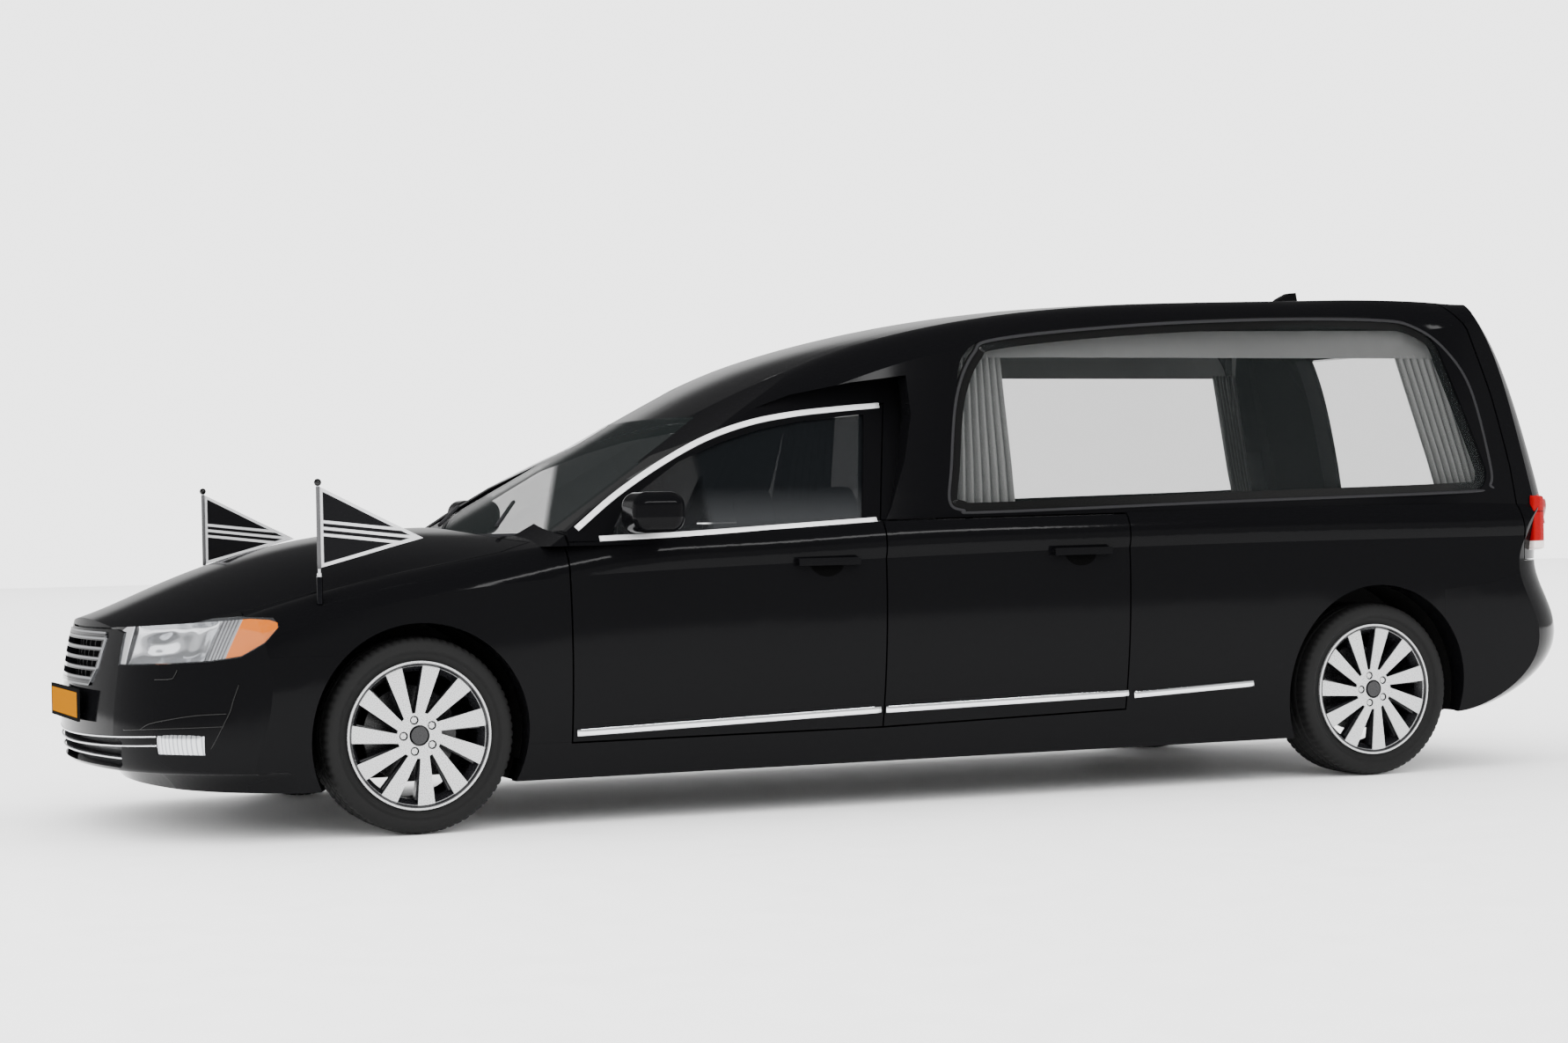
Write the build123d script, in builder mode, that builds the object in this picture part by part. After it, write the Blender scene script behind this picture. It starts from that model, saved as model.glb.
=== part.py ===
"""Hearse on an estate car's running gear: hollow body split at its real panels, doors, wheels and cabin.

Frame: +X forward, +Y to the driver's left, +Z up, millimetres, origin on the floor under the middle.
"""
import os

from build123d import *

os.makedirs("parts", exist_ok=True)

# Overall sizes
FRONT_OVERHANG = 1008
WHEELBASE = 3765
REAR_OVERHANG = 1074
BODY_WIDTH = 1861
ROOF_Z = 1845
BELT_Z = 1000
SILL_Z = 158
TYRE_R = 327
TYRE_WIDTH = 240
RIM_R = 246
TRACK = 1560
CAB_INSET = 56
CAB_LEAN = 0.545

LENGTH = FRONT_OVERHANG + WHEELBASE + REAR_OVERHANG
FRONT_X = LENGTH / 2 - FRONT_OVERHANG
REAR_X = FRONT_X - WHEELBASE
HALF = BODY_WIDTH / 2

# Wall thicknesses and clearances
SIDE_WALL = 95
UPPER_WALL = 60
FLOOR_WALL = 70
TOP_WALL = 40
NOSE_WALL = 120
TAIL_WALL = 90
PANEL_GAP = 6
SEAM = 0.3
FAR = 1300

# Lower body sections. Columns: x, insets from HALF of sill, waist, shoulder and edge,
# drops below BELT_Z of shoulder and edge, rise of the middle above the edge.
LOWER = [
    (FRONT_X + 1100, 60, 14, 34, 220, 430, 385, 75),
    (FRONT_X + 650, 52, 8, 28, 190, 370, 298, 132),
    (FRONT_X + 200, 50, 6, 24, 150, 255, 170, 140),
    (FRONT_X - 250, 48, 3, 16, 125, 185, 88, 100),
    (FRONT_X - 700, 48, 1, 10, 60, 155, 38, 40),
    (FRONT_X - 1200, 48, 0, 8, 40, 140, 22, 12),
    (FRONT_X - 1800, 48, 0, 8, 38, 125, -6, 10),
    (REAR_X + 1300, 48, 0, 8, 38, 113, -14, 10),
    (REAR_X + 650, 48, 0, 8, 38, 106, -20, 10),
    (REAR_X, 50, 2, 10, 42, 104, -24, 10),
    (REAR_X - 600, 56, 8, 20, 54, 104, -26, 10),
    (REAR_X - 1250, 76, 36, 52, 96, 108, -20, 10),
]
WAIST_Z = 560
SHOULDER_BULGE = 0.14

# Upper body sections. Columns: x, inset of the foot, inset of the side's top and its drop below ROOF_Z,
# inset of the roof crease and its drop, drop of the roof's middle.
UPPER = [
    (FRONT_X - 250, 20, 90, 845, 330, 725, 695),
    (FRONT_X - 800, 24, 155, 655, 370, 545, 515),
    (FRONT_X - 1250, 25, 240, 495, 460, 415, 393),
    (FRONT_X - 1600, 30, 240, 365, 425, 257, 238),
    (FRONT_X - 1950, 36, 195, 255, 370, 155, 135),
    (FRONT_X - 2450, 40, 165, 178, 305, 78, 52),
    (REAR_X + 800, 40, 152, 145, 272, 46, 20),
    (REAR_X + 150, 40, 148, 133, 262, 30, 3),
    (REAR_X - 450, 42, 152, 133, 264, 30, 0),
    (REAR_X - 1150, 60, 176, 145, 288, 44, 12),
]
UPPER_FOOT_Z = BELT_Z - 60
INNER_FOOT_Z = BELT_Z - 220
CREASE_BULGE = 0.13

# Plan outlines that shape nose and tail. Columns: height, nose x, tail x.
LOWER_ENDS = [
    (110, FRONT_X + 760, REAR_X - 250),
    (230, FRONT_X + 968, REAR_X - 690),
    (390, FRONT_X + 990, REAR_X - 1015),
    (550, FRONT_X + 972, REAR_X - 1072),
    (720, FRONT_X + 936, REAR_X - 1002),
    (900, FRONT_X + 880, REAR_X - 1005),
    (1080, FRONT_X + 820, REAR_X - 985),
]
UPPER_ENDS = [
    (760, FRONT_X + 104, REAR_X - 1052),
    (1130, FRONT_X - 590, REAR_X - 990),
    (1500, FRONT_X - 1284, REAR_X - 862),
    (1720, FRONT_X - 1696, REAR_X - 742),
    (1900, FRONT_X - 2034, REAR_X - 560),
]
# How far an end's plan curve falls back, as pairs of setback and y.
NOSE_PLAN = [(60, 480), (235, 770), (640, 960)]
SCREEN_PLAN = [(62, 380), (170, 640), (230, 960)]
TAIL_PLAN = [(30, 480), (150, 790), (520, 960)]


def bulged(start, end, share):
    """A point beside the middle of the chord from start to end, out by a share of its length."""
    dy, dz = end[0] - start[0], end[1] - start[1]
    return ((start[0] + end[0]) / 2 + dz * share, (start[1] + end[1]) / 2 - dy * share)


def flip(point):
    return (-point[0], point[1])


def lower_section(row, wall, floor, top):
    """Section of the lower body: flat sill line, side arcs, shoulder arcs and a crowned top."""
    x, sill_in, waist_in, shoulder_in, edge_in, shoulder_drop, edge_drop, crown = row
    sill = (HALF - sill_in - wall, SILL_Z + floor)
    shoulder = (HALF - shoulder_in - wall, BELT_Z - shoulder_drop - top / 2)
    edge = (HALF - edge_in - wall, BELT_Z - edge_drop - top)
    over = bulged(shoulder, edge, SHOULDER_BULGE)
    waist = (HALF - waist_in - wall, min(WAIST_Z, (sill[1] + shoulder[1]) / 2))
    with BuildSketch(Plane.YZ.offset(x)) as section:
        with BuildLine():
            Line(flip(sill), sill)
            ThreePointArc(sill, waist, shoulder)
            ThreePointArc(shoulder, over, edge)
            ThreePointArc(edge, (0, edge[1] + crown), flip(edge))
            ThreePointArc(flip(edge), flip(over), flip(shoulder))
            ThreePointArc(flip(shoulder), flip(waist), flip(sill))
        make_face()
    return section.sketch


def upper_section(row, foot_z, wall, top):
    """Section of the upper body: leaning sides, rounded shoulders up to the crease and a crowned roof."""
    x, foot_in, side_in, side_drop, crease_in, crease_drop, middle_drop = row
    foot = (HALF - foot_in - wall, foot_z)
    side = (HALF - side_in - wall, ROOF_Z - side_drop - top / 2)
    crease = (HALF - crease_in - wall, ROOF_Z - crease_drop - top)
    over = bulged(side, crease, CREASE_BULGE)
    with BuildSketch(Plane.YZ.offset(x)) as section:
        with BuildLine():
            Line(flip(foot), foot)
            Line(foot, side)
            ThreePointArc(side, over, crease)
            ThreePointArc(crease, (0, ROOF_Z - middle_drop - top), flip(crease))
            ThreePointArc(flip(crease), flip(over), flip(side))
            Line(flip(side), flip(foot))
        make_face()
    return section.sketch


def plan_section(z, nose_x, tail_x, nose_plan, tail_plan):
    """Plan outline at one height: bowed nose, sides clear of the body and bowed tail."""
    nose = [(nose_x - back, y) for back, y in nose_plan]
    tail = [(tail_x + ahead, y) for ahead, y in tail_plan]
    nose_right = [(x, -y) for x, y in nose]
    tail_right = [(x, -y) for x, y in tail]
    with BuildSketch(Plane.XY.offset(z)) as section:
        with BuildLine():
            ThreePointArc(nose_right[0], (nose_x, 0), nose[0])
            ThreePointArc(*nose)
            Line(nose[2], tail[2])
            ThreePointArc(tail[2], tail[1], tail[0])
            ThreePointArc(tail[0], (tail_x, 0), tail_right[0])
            ThreePointArc(*tail_right)
            Line(tail_right[2], nose_right[2])
            ThreePointArc(nose_right[2], nose_right[1], nose_right[0])
        make_face()
    return section.sketch


def lower_body(wall, floor, top, nose, tail):
    """Lower body between nose and tail, drawn in by the given wall thicknesses."""
    with BuildPart() as ends:
        loft([plan_section(z, n - nose, t + tail, NOSE_PLAN, TAIL_PLAN) for z, n, t in LOWER_ENDS])
    with BuildPart() as body:
        loft([lower_section(row, wall, floor, top) for row in LOWER])
        add(ends.part, mode=Mode.INTERSECT)
    return body.part


def upper_ends(nose, tail):
    """Block between windscreen and tailgate surfaces, drawn in by the given depths."""
    with BuildPart() as ends:
        loft([plan_section(z, n - nose, t + tail, SCREEN_PLAN, TAIL_PLAN) for z, n, t in UPPER_ENDS])
    return ends.part


def upper_body(foot_z, wall, top, nose, tail):
    """Upper body between windscreen and tailgate, drawn in by the given wall thicknesses."""
    with BuildPart() as body:
        loft([upper_section(row, foot_z, wall, top) for row in UPPER])
        add(upper_ends(nose, tail), mode=Mode.INTERSECT)
    return body.part


def side_layer(foot_z, near, far, near_top, far_top):
    """Layer beside the upper body's sides, between two depths inside the skin."""
    with BuildPart() as layer:
        loft([upper_section(row, foot_z, near, near_top) for row in UPPER])
        loft([upper_section(row, foot_z, far, far_top) for row in UPPER], mode=Mode.SUBTRACT)
    return layer.part


def side_face(points, margin, y):
    """Side-view outline, points as (x, z), grown by a margin, on the plane at y."""
    with BuildSketch(Plane.XZ.offset(-y)) as face:
        with BuildLine():
            Polyline(*points, close=True)
        make_face()
        if margin:
            offset(amount=margin, kind=Kind.INTERSECTION, mode=Mode.REPLACE)
    return face.sketch


def side_prism(points, margin=0, y_from=0, y_to=FAR):
    """Block with a side-view outline, from y_from out to y_to."""
    with BuildPart() as prism:
        extrude(side_face(points, margin, y_from), amount=y_from - y_to)
    return prism.part


def front_prism(points, margin, x_from, x_to):
    """Block with a front-view outline, half given as (y, z) from top to bottom, from x_from to x_to."""
    with BuildPart() as prism:
        with BuildSketch(Plane.YZ.offset(x_from)):
            with BuildLine():
                Polyline(*points, *[flip(point) for point in reversed(points)], close=True)
            make_face()
            if margin:
                offset(amount=margin, kind=Kind.INTERSECTION, mode=Mode.REPLACE)
        extrude(amount=x_to - x_from)
    return prism.part


def block(x, y, z):
    """Block between pairs of limits along each axis."""
    with BuildPart() as piece:
        with Locations(((x[0] + x[1]) / 2, (y[0] + y[1]) / 2, (z[0] + z[1]) / 2)):
            Box(abs(x[1] - x[0]), abs(y[1] - y[0]), abs(z[1] - z[0]))
    return piece.part


def cab_layer(near, far):
    """Layer beside the cab's leaning side plane, from near to far millimetres inside it."""
    low, high = BELT_Z - 45, ROOF_Z + 40
    with BuildPart() as layer:
        with BuildSketch(Plane.YZ.offset(FRONT_X - 2600)):
            with BuildLine():
                Polyline(
                    (cab_y(low) - near, low),
                    (cab_y(high) - near, high),
                    (cab_y(high) - far, high),
                    (cab_y(low) - far, low),
                    close=True,
                )
            make_face()
        extrude(amount=2600)
    return layer.part


def cab_y(z):
    """Half width of the cab's side plane at height z."""
    return HALF - CAB_INSET - CAB_LEAN * (z - BELT_Z)


# Master body: outer skin less the hollow of engine bay, cabin and load space
with BuildPart() as outer:
    add(lower_body(0, 0, 0, 0, 0))
    add(upper_body(UPPER_FOOT_Z, 0, 0, 0, 0))

with BuildPart() as hollow:
    add(lower_body(SIDE_WALL, FLOOR_WALL, TOP_WALL, NOSE_WALL, TAIL_WALL))
    add(upper_body(INNER_FOOT_Z, UPPER_WALL, TOP_WALL, 60, TAIL_WALL))

with BuildPart() as wall:
    add(outer.part)
    add(hollow.part, mode=Mode.SUBTRACT)

# Wheel positions and the spaces that the wheels turn in
WHEEL_Y = TRACK / 2
FRONT_ARCH_R = 372
REAR_ARCH_R = 396
FRONT_WELL_Y = 470
REAR_WELL_Y = 600
WELL_LIP_Y = 832
WELL_DEPTH = 14
WHEELS = [
    ("front_left", FRONT_X, 1, FRONT_ARCH_R, FRONT_WELL_Y),
    ("front_right", FRONT_X, -1, FRONT_ARCH_R, FRONT_WELL_Y),
    ("rear_left", REAR_X, 1, REAR_ARCH_R, REAR_WELL_Y),
    ("rear_right", REAR_X, -1, REAR_ARCH_R, REAR_WELL_Y),
]

with BuildPart() as wells:
    for name, x, side, radius, inner in WHEELS:
        with Locations(Location((x, side * (inner + FAR) / 2, TYRE_R), (90, 0, 0))):
            Cylinder(radius, FAR - inner)
        with Locations(Location((x, side * (inner + WELL_LIP_Y) / 2, TYRE_R), (90, 0, 0))):
            Cylinder(radius + WELL_DEPTH, WELL_LIP_Y - inner)

# Side-view outlines of the panels, as (x, z) points going round
DOOR_FRONT_X = FRONT_X - 528
DOOR_SPLIT_X = FRONT_X - 1702
DOOR_REAR_X = REAR_X + 1078
DOOR_LOW_Z = 283
FRONT_DOOR = [
    (DOOR_FRONT_X, DOOR_LOW_Z),
    (DOOR_FRONT_X, BELT_Z - 10),
    (DOOR_FRONT_X - 110, BELT_Z + 66),
    (DOOR_FRONT_X - 270, BELT_Z + 164),
    (DOOR_FRONT_X - 440, BELT_Z + 247),
    (DOOR_FRONT_X - 620, BELT_Z + 317),
    (DOOR_FRONT_X - 790, BELT_Z + 364),
    (DOOR_FRONT_X - 980, BELT_Z + 398),
    (DOOR_SPLIT_X - 130, BELT_Z + 424),
    (DOOR_SPLIT_X, BELT_Z + 6),
    (DOOR_SPLIT_X + 22, DOOR_LOW_Z),
]
FRONT_GLASS = [
    (DOOR_FRONT_X - 150, BELT_Z - 32),
    (DOOR_FRONT_X - 235, BELT_Z + 84),
    (DOOR_FRONT_X - 460, BELT_Z + 222),
    (DOOR_FRONT_X - 640, BELT_Z + 290),
    (DOOR_FRONT_X - 800, BELT_Z + 335),
    (DOOR_FRONT_X - 985, BELT_Z + 366),
    (DOOR_SPLIT_X - 45, BELT_Z + 387),
    (DOOR_SPLIT_X + 66, BELT_Z + 4),
]
REAR_DOOR = [
    (DOOR_SPLIT_X - PANEL_GAP, BELT_Z + 2),
    (DOOR_REAR_X, BELT_Z + 10),
    (DOOR_REAR_X + 26, DOOR_LOW_Z + 20),
    (DOOR_SPLIT_X - PANEL_GAP + 22, DOOR_LOW_Z),
]
SCALLOP = [
    (DOOR_FRONT_X - 420, BELT_Z + 200),
    (DOOR_FRONT_X - 700, BELT_Z + 378),
    (DOOR_FRONT_X - 930, BELT_Z + 458),
    (DOOR_FRONT_X - 1150, BELT_Z + 500),
    (DOOR_SPLIT_X - 180, BELT_Z + 524),
    (DOOR_SPLIT_X - 178, BELT_Z + 380),
    (DOOR_SPLIT_X - 130, BELT_Z + 215),
    (DOOR_SPLIT_X - 52, BELT_Z + 50),
    (DOOR_SPLIT_X - 22, BELT_Z + 6),
    (DOOR_FRONT_X - 200, BELT_Z - 30),
]
SIDE_WINDOW_FRONT_X = FRONT_X - 1972
SIDE_WINDOW_REAR_X = REAR_X - 578
SIDE_WINDOW_TOP_Z = BELT_Z + 738


def side_window(margin):
    """Side-view outline of the load space's window, drawn in by a margin."""
    with BuildSketch(Plane.XZ) as window:
        with BuildLine():
            foot = (SIDE_WINDOW_FRONT_X - margin, BELT_Z + 24 + margin)
            front = (SIDE_WINDOW_FRONT_X - 128 - margin, SIDE_WINDOW_TOP_Z - 96 - margin)
            rear = (SIDE_WINDOW_REAR_X + 212 + margin, SIDE_WINDOW_TOP_Z - 2 - margin)
            heel = (SIDE_WINDOW_REAR_X + margin, BELT_Z + 68 + margin)
            Line(foot, front)
            ThreePointArc(front, ((front[0] + rear[0]) / 2, SIDE_WINDOW_TOP_Z - 20 - margin), rear)
            Line(rear, heel)
            Line(heel, foot)
        make_face()
        fillet(window.vertices().group_by(Axis.Y)[-1], 190 - margin)
        fillet(window.vertices().sort_by_distance(front)[0], 150 - margin)
        fillet(window.vertices().sort_by_distance(heel)[0], 75 - margin / 2)
        fillet(window.vertices().sort_by_distance(foot)[0], 60 - margin / 2)
    return window.sketch


def window_prism(margin, y_from, y_to):
    with BuildPart() as prism:
        with BuildSketch(Plane.XZ.offset(-y_from)):
            add(side_window(margin))
        extrude(amount=y_from - y_to)
    return prism.part


def mirrored(part):
    """The right-hand twin of a left-hand piece."""
    with BuildPart() as twin:
        mirror(part, about=Plane.XZ)
    return twin.part


def biggest(part):
    """The main solid of a piece, without the slivers that cuts leave beside it."""
    with BuildPart() as kept:
        add(part.solids().sort_by(SortBy.VOLUME)[-1])
    return kept.part


def write(part, name):
    """Labels a finished piece and writes its own STEP file."""
    part.label = name
    export_step(part, f"parts/{name}.step")


def write_pair(part, name):
    """Writes a left-hand piece and its right-hand twin."""
    write(mirrored(part), f"{name}_right")
    write(part, f"{name}_left")


# Seams between the panels
ROOF_SEAM_Y = 440
FLOOR_HALF = 740
FLOOR_TOP_Z = SILL_Z + FLOOR_WALL
BUMPER_TOP_Z = 602
TAILGATE_LOW_Z = 804
COWL_HALF = 560
SCREEN = [(452, BELT_Z + 392), (700, BELT_Z - 14)]
REAR_SCREEN = [(560, BELT_Z + 655), (640, BELT_Z + 80)]
TAILGATE = [
    (REAR_X - 455, ROOF_Z + 60),
    (REAR_X - 468, ROOF_Z - 36),
    (REAR_X - 525, ROOF_Z - 143),
    (REAR_X - 598, BELT_Z + 441),
    (REAR_X - 660, BELT_Z + 165),
    (REAR_X - 697, BELT_Z - 76),
    (REAR_X - 705, TAILGATE_LOW_Z),
    (REAR_X - 1300, TAILGATE_LOW_Z),
    (REAR_X - 1300, ROOF_Z + 60),
]
REAR_BUMPER = [
    (REAR_X - 300, 60),
    (REAR_X - 300, 698),
    (REAR_X - 535, 722),
    (REAR_X - 656, 752),
    (REAR_X - 705, TAILGATE_LOW_Z - PANEL_GAP),
    (REAR_X - 1300, TAILGATE_LOW_Z - PANEL_GAP),
    (REAR_X - 1300, 60),
]
FRONT_BUMPER = [
    (FRONT_X + 240, 60),
    (FRONT_X + 240, BUMPER_TOP_Z),
    (FRONT_X + 505, BUMPER_TOP_Z),
    (FRONT_X + 560, BELT_Z - 230),
    (FRONT_X + 1200, BELT_Z - 100),
    (FRONT_X + 1200, 60),
]
FENDER = [
    (DOOR_FRONT_X + PANEL_GAP, DOOR_LOW_Z),
    (DOOR_FRONT_X + PANEL_GAP, BELT_Z + 60),
    (FRONT_X + 560 - SEAM, BELT_Z + 60),
    (FRONT_X + 560 - SEAM, BELT_Z - 230),
    (FRONT_X + 505 - SEAM, BUMPER_TOP_Z + SEAM),
    (FRONT_X + 200, BUMPER_TOP_Z + SEAM),
    (FRONT_X + 200, DOOR_LOW_Z),
]
BODY_SIDE = [
    (FRONT_X - 200, 60),
    (FRONT_X - 200, DOOR_LOW_Z - SEAM),
    (DOOR_FRONT_X + PANEL_GAP - SEAM, DOOR_LOW_Z - SEAM),
    (DOOR_FRONT_X + PANEL_GAP - SEAM, BELT_Z + 300),
    (FRONT_X - 1500, ROOF_Z + 60),
    (REAR_X - 455, ROOF_Z + 60),
    (REAR_X - 1200, 600),
    (REAR_X - 1200, 60),
]
HEAD_LAMP = [
    (FRONT_X + 1000, 572),
    (FRONT_X + 1000, 704),
    (FRONT_X + 800, 716),
    (FRONT_X + 560, 734),
    (FRONT_X + 478, 730),
    (FRONT_X + 466, 702),
    (FRONT_X + 520, 648),
    (FRONT_X + 590, 606),
    (FRONT_X + 680, 592),
]
LAMP_INNER_Y = 475


BONNET_SIDE = [
    (FRONT_X - 600, BELT_Z - 130),
    (FRONT_X - 100, BELT_Z - 200),
    (FRONT_X + 300, BELT_Z - 258),
    (FRONT_X + 560, BELT_Z - 278),
    (FRONT_X + 800, BELT_Z - 294),
    (FRONT_X + 1020, BELT_Z - 308),
    (FRONT_X + 1020, BELT_Z + 300),
    (FRONT_X - 600, BELT_Z + 300),
]


def bonnet_prism(margin):
    """Block with the bonnet's plan outline and its lower edge, grown by a margin."""
    front = (FRONT_X + 905, 470)
    lamp = (FRONT_X + 520, 735)
    rear = (FRONT_X - 320, 800)
    corner = (FRONT_X - 440, 735)
    with BuildPart() as prism:
        with BuildSketch(Plane.XY.offset(BUMPER_TOP_Z)):
            with BuildLine():
                ThreePointArc((front[0], -front[1]), (FRONT_X + 985, 0), front)
                ThreePointArc(front, (FRONT_X + 700, 638), lamp)
                ThreePointArc(lamp, (FRONT_X + 120, 792), rear)
                Line(rear, corner)
                ThreePointArc(corner, (FRONT_X - 280, 0), (corner[0], -corner[1]))
                Line((corner[0], -corner[1]), (rear[0], -rear[1]))
                ThreePointArc((rear[0], -rear[1]), (FRONT_X + 120, -792), (lamp[0], -lamp[1]))
                ThreePointArc((lamp[0], -lamp[1]), (FRONT_X + 700, -638), (front[0], -front[1]))
            make_face()
            if margin:
                offset(amount=margin, kind=Kind.INTERSECTION, mode=Mode.REPLACE)
        extrude(amount=BELT_Z + 200 - BUMPER_TOP_Z)
        add(side_prism(BONNET_SIDE, margin, -FAR), mode=Mode.INTERSECT)
    return prism.part


def screen_layer(nose, tail, thickness):
    """Glass layer just inside the windscreen (nose set) or the tailgate (tail set)."""
    with BuildPart() as layer:
        add(upper_ends(nose, tail))
        add(
            upper_ends(nose + thickness if nose else 0, tail + thickness if tail else 0),
            mode=Mode.SUBTRACT,
        )
    return layer.part


# Left half of the body wall, split into fender, doors, body side and lamps
with BuildPart() as left_wall:
    add(wall.part)
    add(block((-LENGTH, LENGTH), (0, FAR), (0, ROOF_Z + 100)), mode=Mode.INTERSECT)
    add(wells.part, mode=Mode.SUBTRACT)

with BuildPart() as fender:
    add(left_wall.part)
    add(side_prism(FENDER, 0, COWL_HALF), mode=Mode.INTERSECT)
    add(bonnet_prism(PANEL_GAP), mode=Mode.SUBTRACT)
    add(side_prism(HEAD_LAMP, SEAM, LAMP_INNER_Y - SEAM), mode=Mode.SUBTRACT)
write_pair(fender.part, "fender")

with BuildPart() as head_lamp:
    add(left_wall.part)
    add(side_prism(HEAD_LAMP, 0, LAMP_INNER_Y), mode=Mode.INTERSECT)
    add(bonnet_prism(PANEL_GAP), mode=Mode.SUBTRACT)
write_pair(head_lamp.part, "head_lamp")

DOOR_PANEL = [
    (DOOR_FRONT_X, DOOR_LOW_Z),
    (DOOR_FRONT_X, BELT_Z - 12),
    (DOOR_FRONT_X - 170, BELT_Z - 36),
    (DOOR_SPLIT_X, BELT_Z + 4),
    (DOOR_SPLIT_X + 22, DOOR_LOW_Z),
]
DOOR_FRAME = 42
HANDLE = (236, 44, 26)
with BuildPart() as door_frame:
    add(cab_layer(0, DOOR_FRAME))
    add(side_prism(FRONT_DOOR, 0, 400), mode=Mode.INTERSECT)
    add(side_prism(FRONT_GLASS, 0, 400), mode=Mode.SUBTRACT)

with BuildPart() as front_door:
    add(left_wall.part)
    add(side_prism(DOOR_PANEL, 0, 500), mode=Mode.INTERSECT)
    add(door_frame.part)
    with Locations((DOOR_SPLIT_X + 230, HALF - 4, BELT_Z - 134)):
        Box(*HANDLE)
write_pair(front_door.part, "front_door")

with BuildPart() as rear_door:
    add(left_wall.part)
    add(side_prism(REAR_DOOR, 0, 500), mode=Mode.INTERSECT)
    with Locations((DOOR_REAR_X + 206, HALF - 4, BELT_Z - 120)):
        Box(*HANDLE)
write_pair(rear_door.part, "rear_door")

with BuildPart() as front_door_glass:
    add(cab_layer(10, 15))
    add(side_prism(FRONT_GLASS, -SEAM, 400), mode=Mode.INTERSECT)
    add(front_door.part, mode=Mode.SUBTRACT)
write_pair(front_door_glass.part, "front_door_glass")

with BuildPart() as cab_recess:
    add(side_prism(SCALLOP, 0, 400))
    add(cab_layer(-400, 0), mode=Mode.INTERSECT)

with BuildPart() as cab_backing:
    add(side_prism(SCALLOP, 45, 400))
    add(cab_layer(0, DOOR_FRAME), mode=Mode.INTERSECT)
    add(outer.part, mode=Mode.INTERSECT)

with BuildPart() as body_side:
    add(left_wall.part)
    add(side_prism(BODY_SIDE, 0, ROOF_SEAM_Y + SEAM), mode=Mode.INTERSECT)
    add(block((-LENGTH, LENGTH), (0, FLOOR_HALF + SEAM), (0, FLOOR_TOP_Z + 60)), mode=Mode.SUBTRACT)
    add(side_prism(TAILGATE, PANEL_GAP, 0), mode=Mode.SUBTRACT)
    add(side_prism(REAR_BUMPER, SEAM, 0), mode=Mode.SUBTRACT)
    add(front_prism(SCREEN, SEAM, FRONT_X - 1400, FRONT_X), mode=Mode.SUBTRACT)
    add(cab_recess.part, mode=Mode.SUBTRACT)
    add(cab_backing.part)
    add(side_prism(FRONT_DOOR, PANEL_GAP, 400), mode=Mode.SUBTRACT)
    add(side_prism(REAR_DOOR, PANEL_GAP, 400), mode=Mode.SUBTRACT)
    add(window_prism(0, 400, FAR), mode=Mode.SUBTRACT)
write_pair(biggest(body_side.part), "body_side")

# Panels across the middle
with BuildPart() as bonnet:
    add(wall.part)
    add(bonnet_prism(0), mode=Mode.INTERSECT)
write(bonnet.part, "bonnet")

with BuildPart() as cowl:
    add(wall.part)
    add(
        block((FRONT_X - 620, FRONT_X - 200), (SEAM - COWL_HALF, COWL_HALF - SEAM), (BELT_Z - 150, BELT_Z + 80)),
        mode=Mode.INTERSECT,
    )
    add(bonnet_prism(PANEL_GAP), mode=Mode.SUBTRACT)
    add(front_prism(SCREEN, SEAM, FRONT_X - 1400, FRONT_X), mode=Mode.SUBTRACT)
write(cowl.part, "cowl")

FIN_X = REAR_X - 210
FIN_HALF = 18
FIN = [
    (FIN_X + 78, ROOF_Z - 14),
    (FIN_X + 20, ROOF_Z + 34),
    (FIN_X - 30, ROOF_Z + 58),
    (FIN_X - 62, ROOF_Z + 60),
    (FIN_X - 76, ROOF_Z - 14),
]
with BuildPart() as roof:
    add(wall.part)
    add(
        block((REAR_X - 800, FRONT_X - 1000), (-ROOF_SEAM_Y, ROOF_SEAM_Y), (BELT_Z + 300, ROOF_Z + 100)),
        mode=Mode.INTERSECT,
    )
    add(front_prism(SCREEN, SEAM, FRONT_X - 1600, FRONT_X), mode=Mode.SUBTRACT)
    add(side_prism(TAILGATE, PANEL_GAP, -FAR), mode=Mode.SUBTRACT)
    extrude(side_face(FIN, 0, -FIN_HALF), amount=-2 * FIN_HALF)
write(roof.part, "roof")

with BuildPart() as windscreen:
    add(screen_layer(4, 0, 14))
    add(front_prism(SCREEN, -SEAM, FRONT_X - 1400, FRONT_X), mode=Mode.INTERSECT)
    add(cowl.part, mode=Mode.SUBTRACT)
    add(fender.part, mode=Mode.SUBTRACT)
    add(mirrored(fender.part), mode=Mode.SUBTRACT)
write(biggest(windscreen.part), "windscreen")

TAIL_LAMP_LOW_Z = 830
TAIL_LAMP_TOP_Z = 1056
TAIL_LAMP_INNER_Y = 660
with BuildPart() as lamp_space:
    add(
        block(
            (REAR_X - 1300, REAR_X - 810), (TAIL_LAMP_INNER_Y, FAR), (TAIL_LAMP_LOW_Z, TAIL_LAMP_TOP_Z)
        )
    )
    mirror(about=Plane.XZ)

with BuildPart() as tailgate:
    add(wall.part)
    add(side_prism(TAILGATE, 0, -FAR), mode=Mode.INTERSECT)
    add(front_prism(REAR_SCREEN, SEAM, REAR_X - 1300, REAR_X - 300), mode=Mode.SUBTRACT)
    add(lamp_space.part, mode=Mode.SUBTRACT)
write(tailgate.part, "tailgate")

with BuildPart() as tailgate_glass:
    add(screen_layer(0, 5, 12))
    add(front_prism(REAR_SCREEN, -SEAM, REAR_X - 1300, REAR_X - 300), mode=Mode.INTERSECT)
write(tailgate_glass.part, "tailgate_glass")

with BuildPart() as tail_lamps:
    add(wall.part)
    add(lamp_space.part, mode=Mode.INTERSECT)
write(tail_lamps.part, "tail_lamps")

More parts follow.
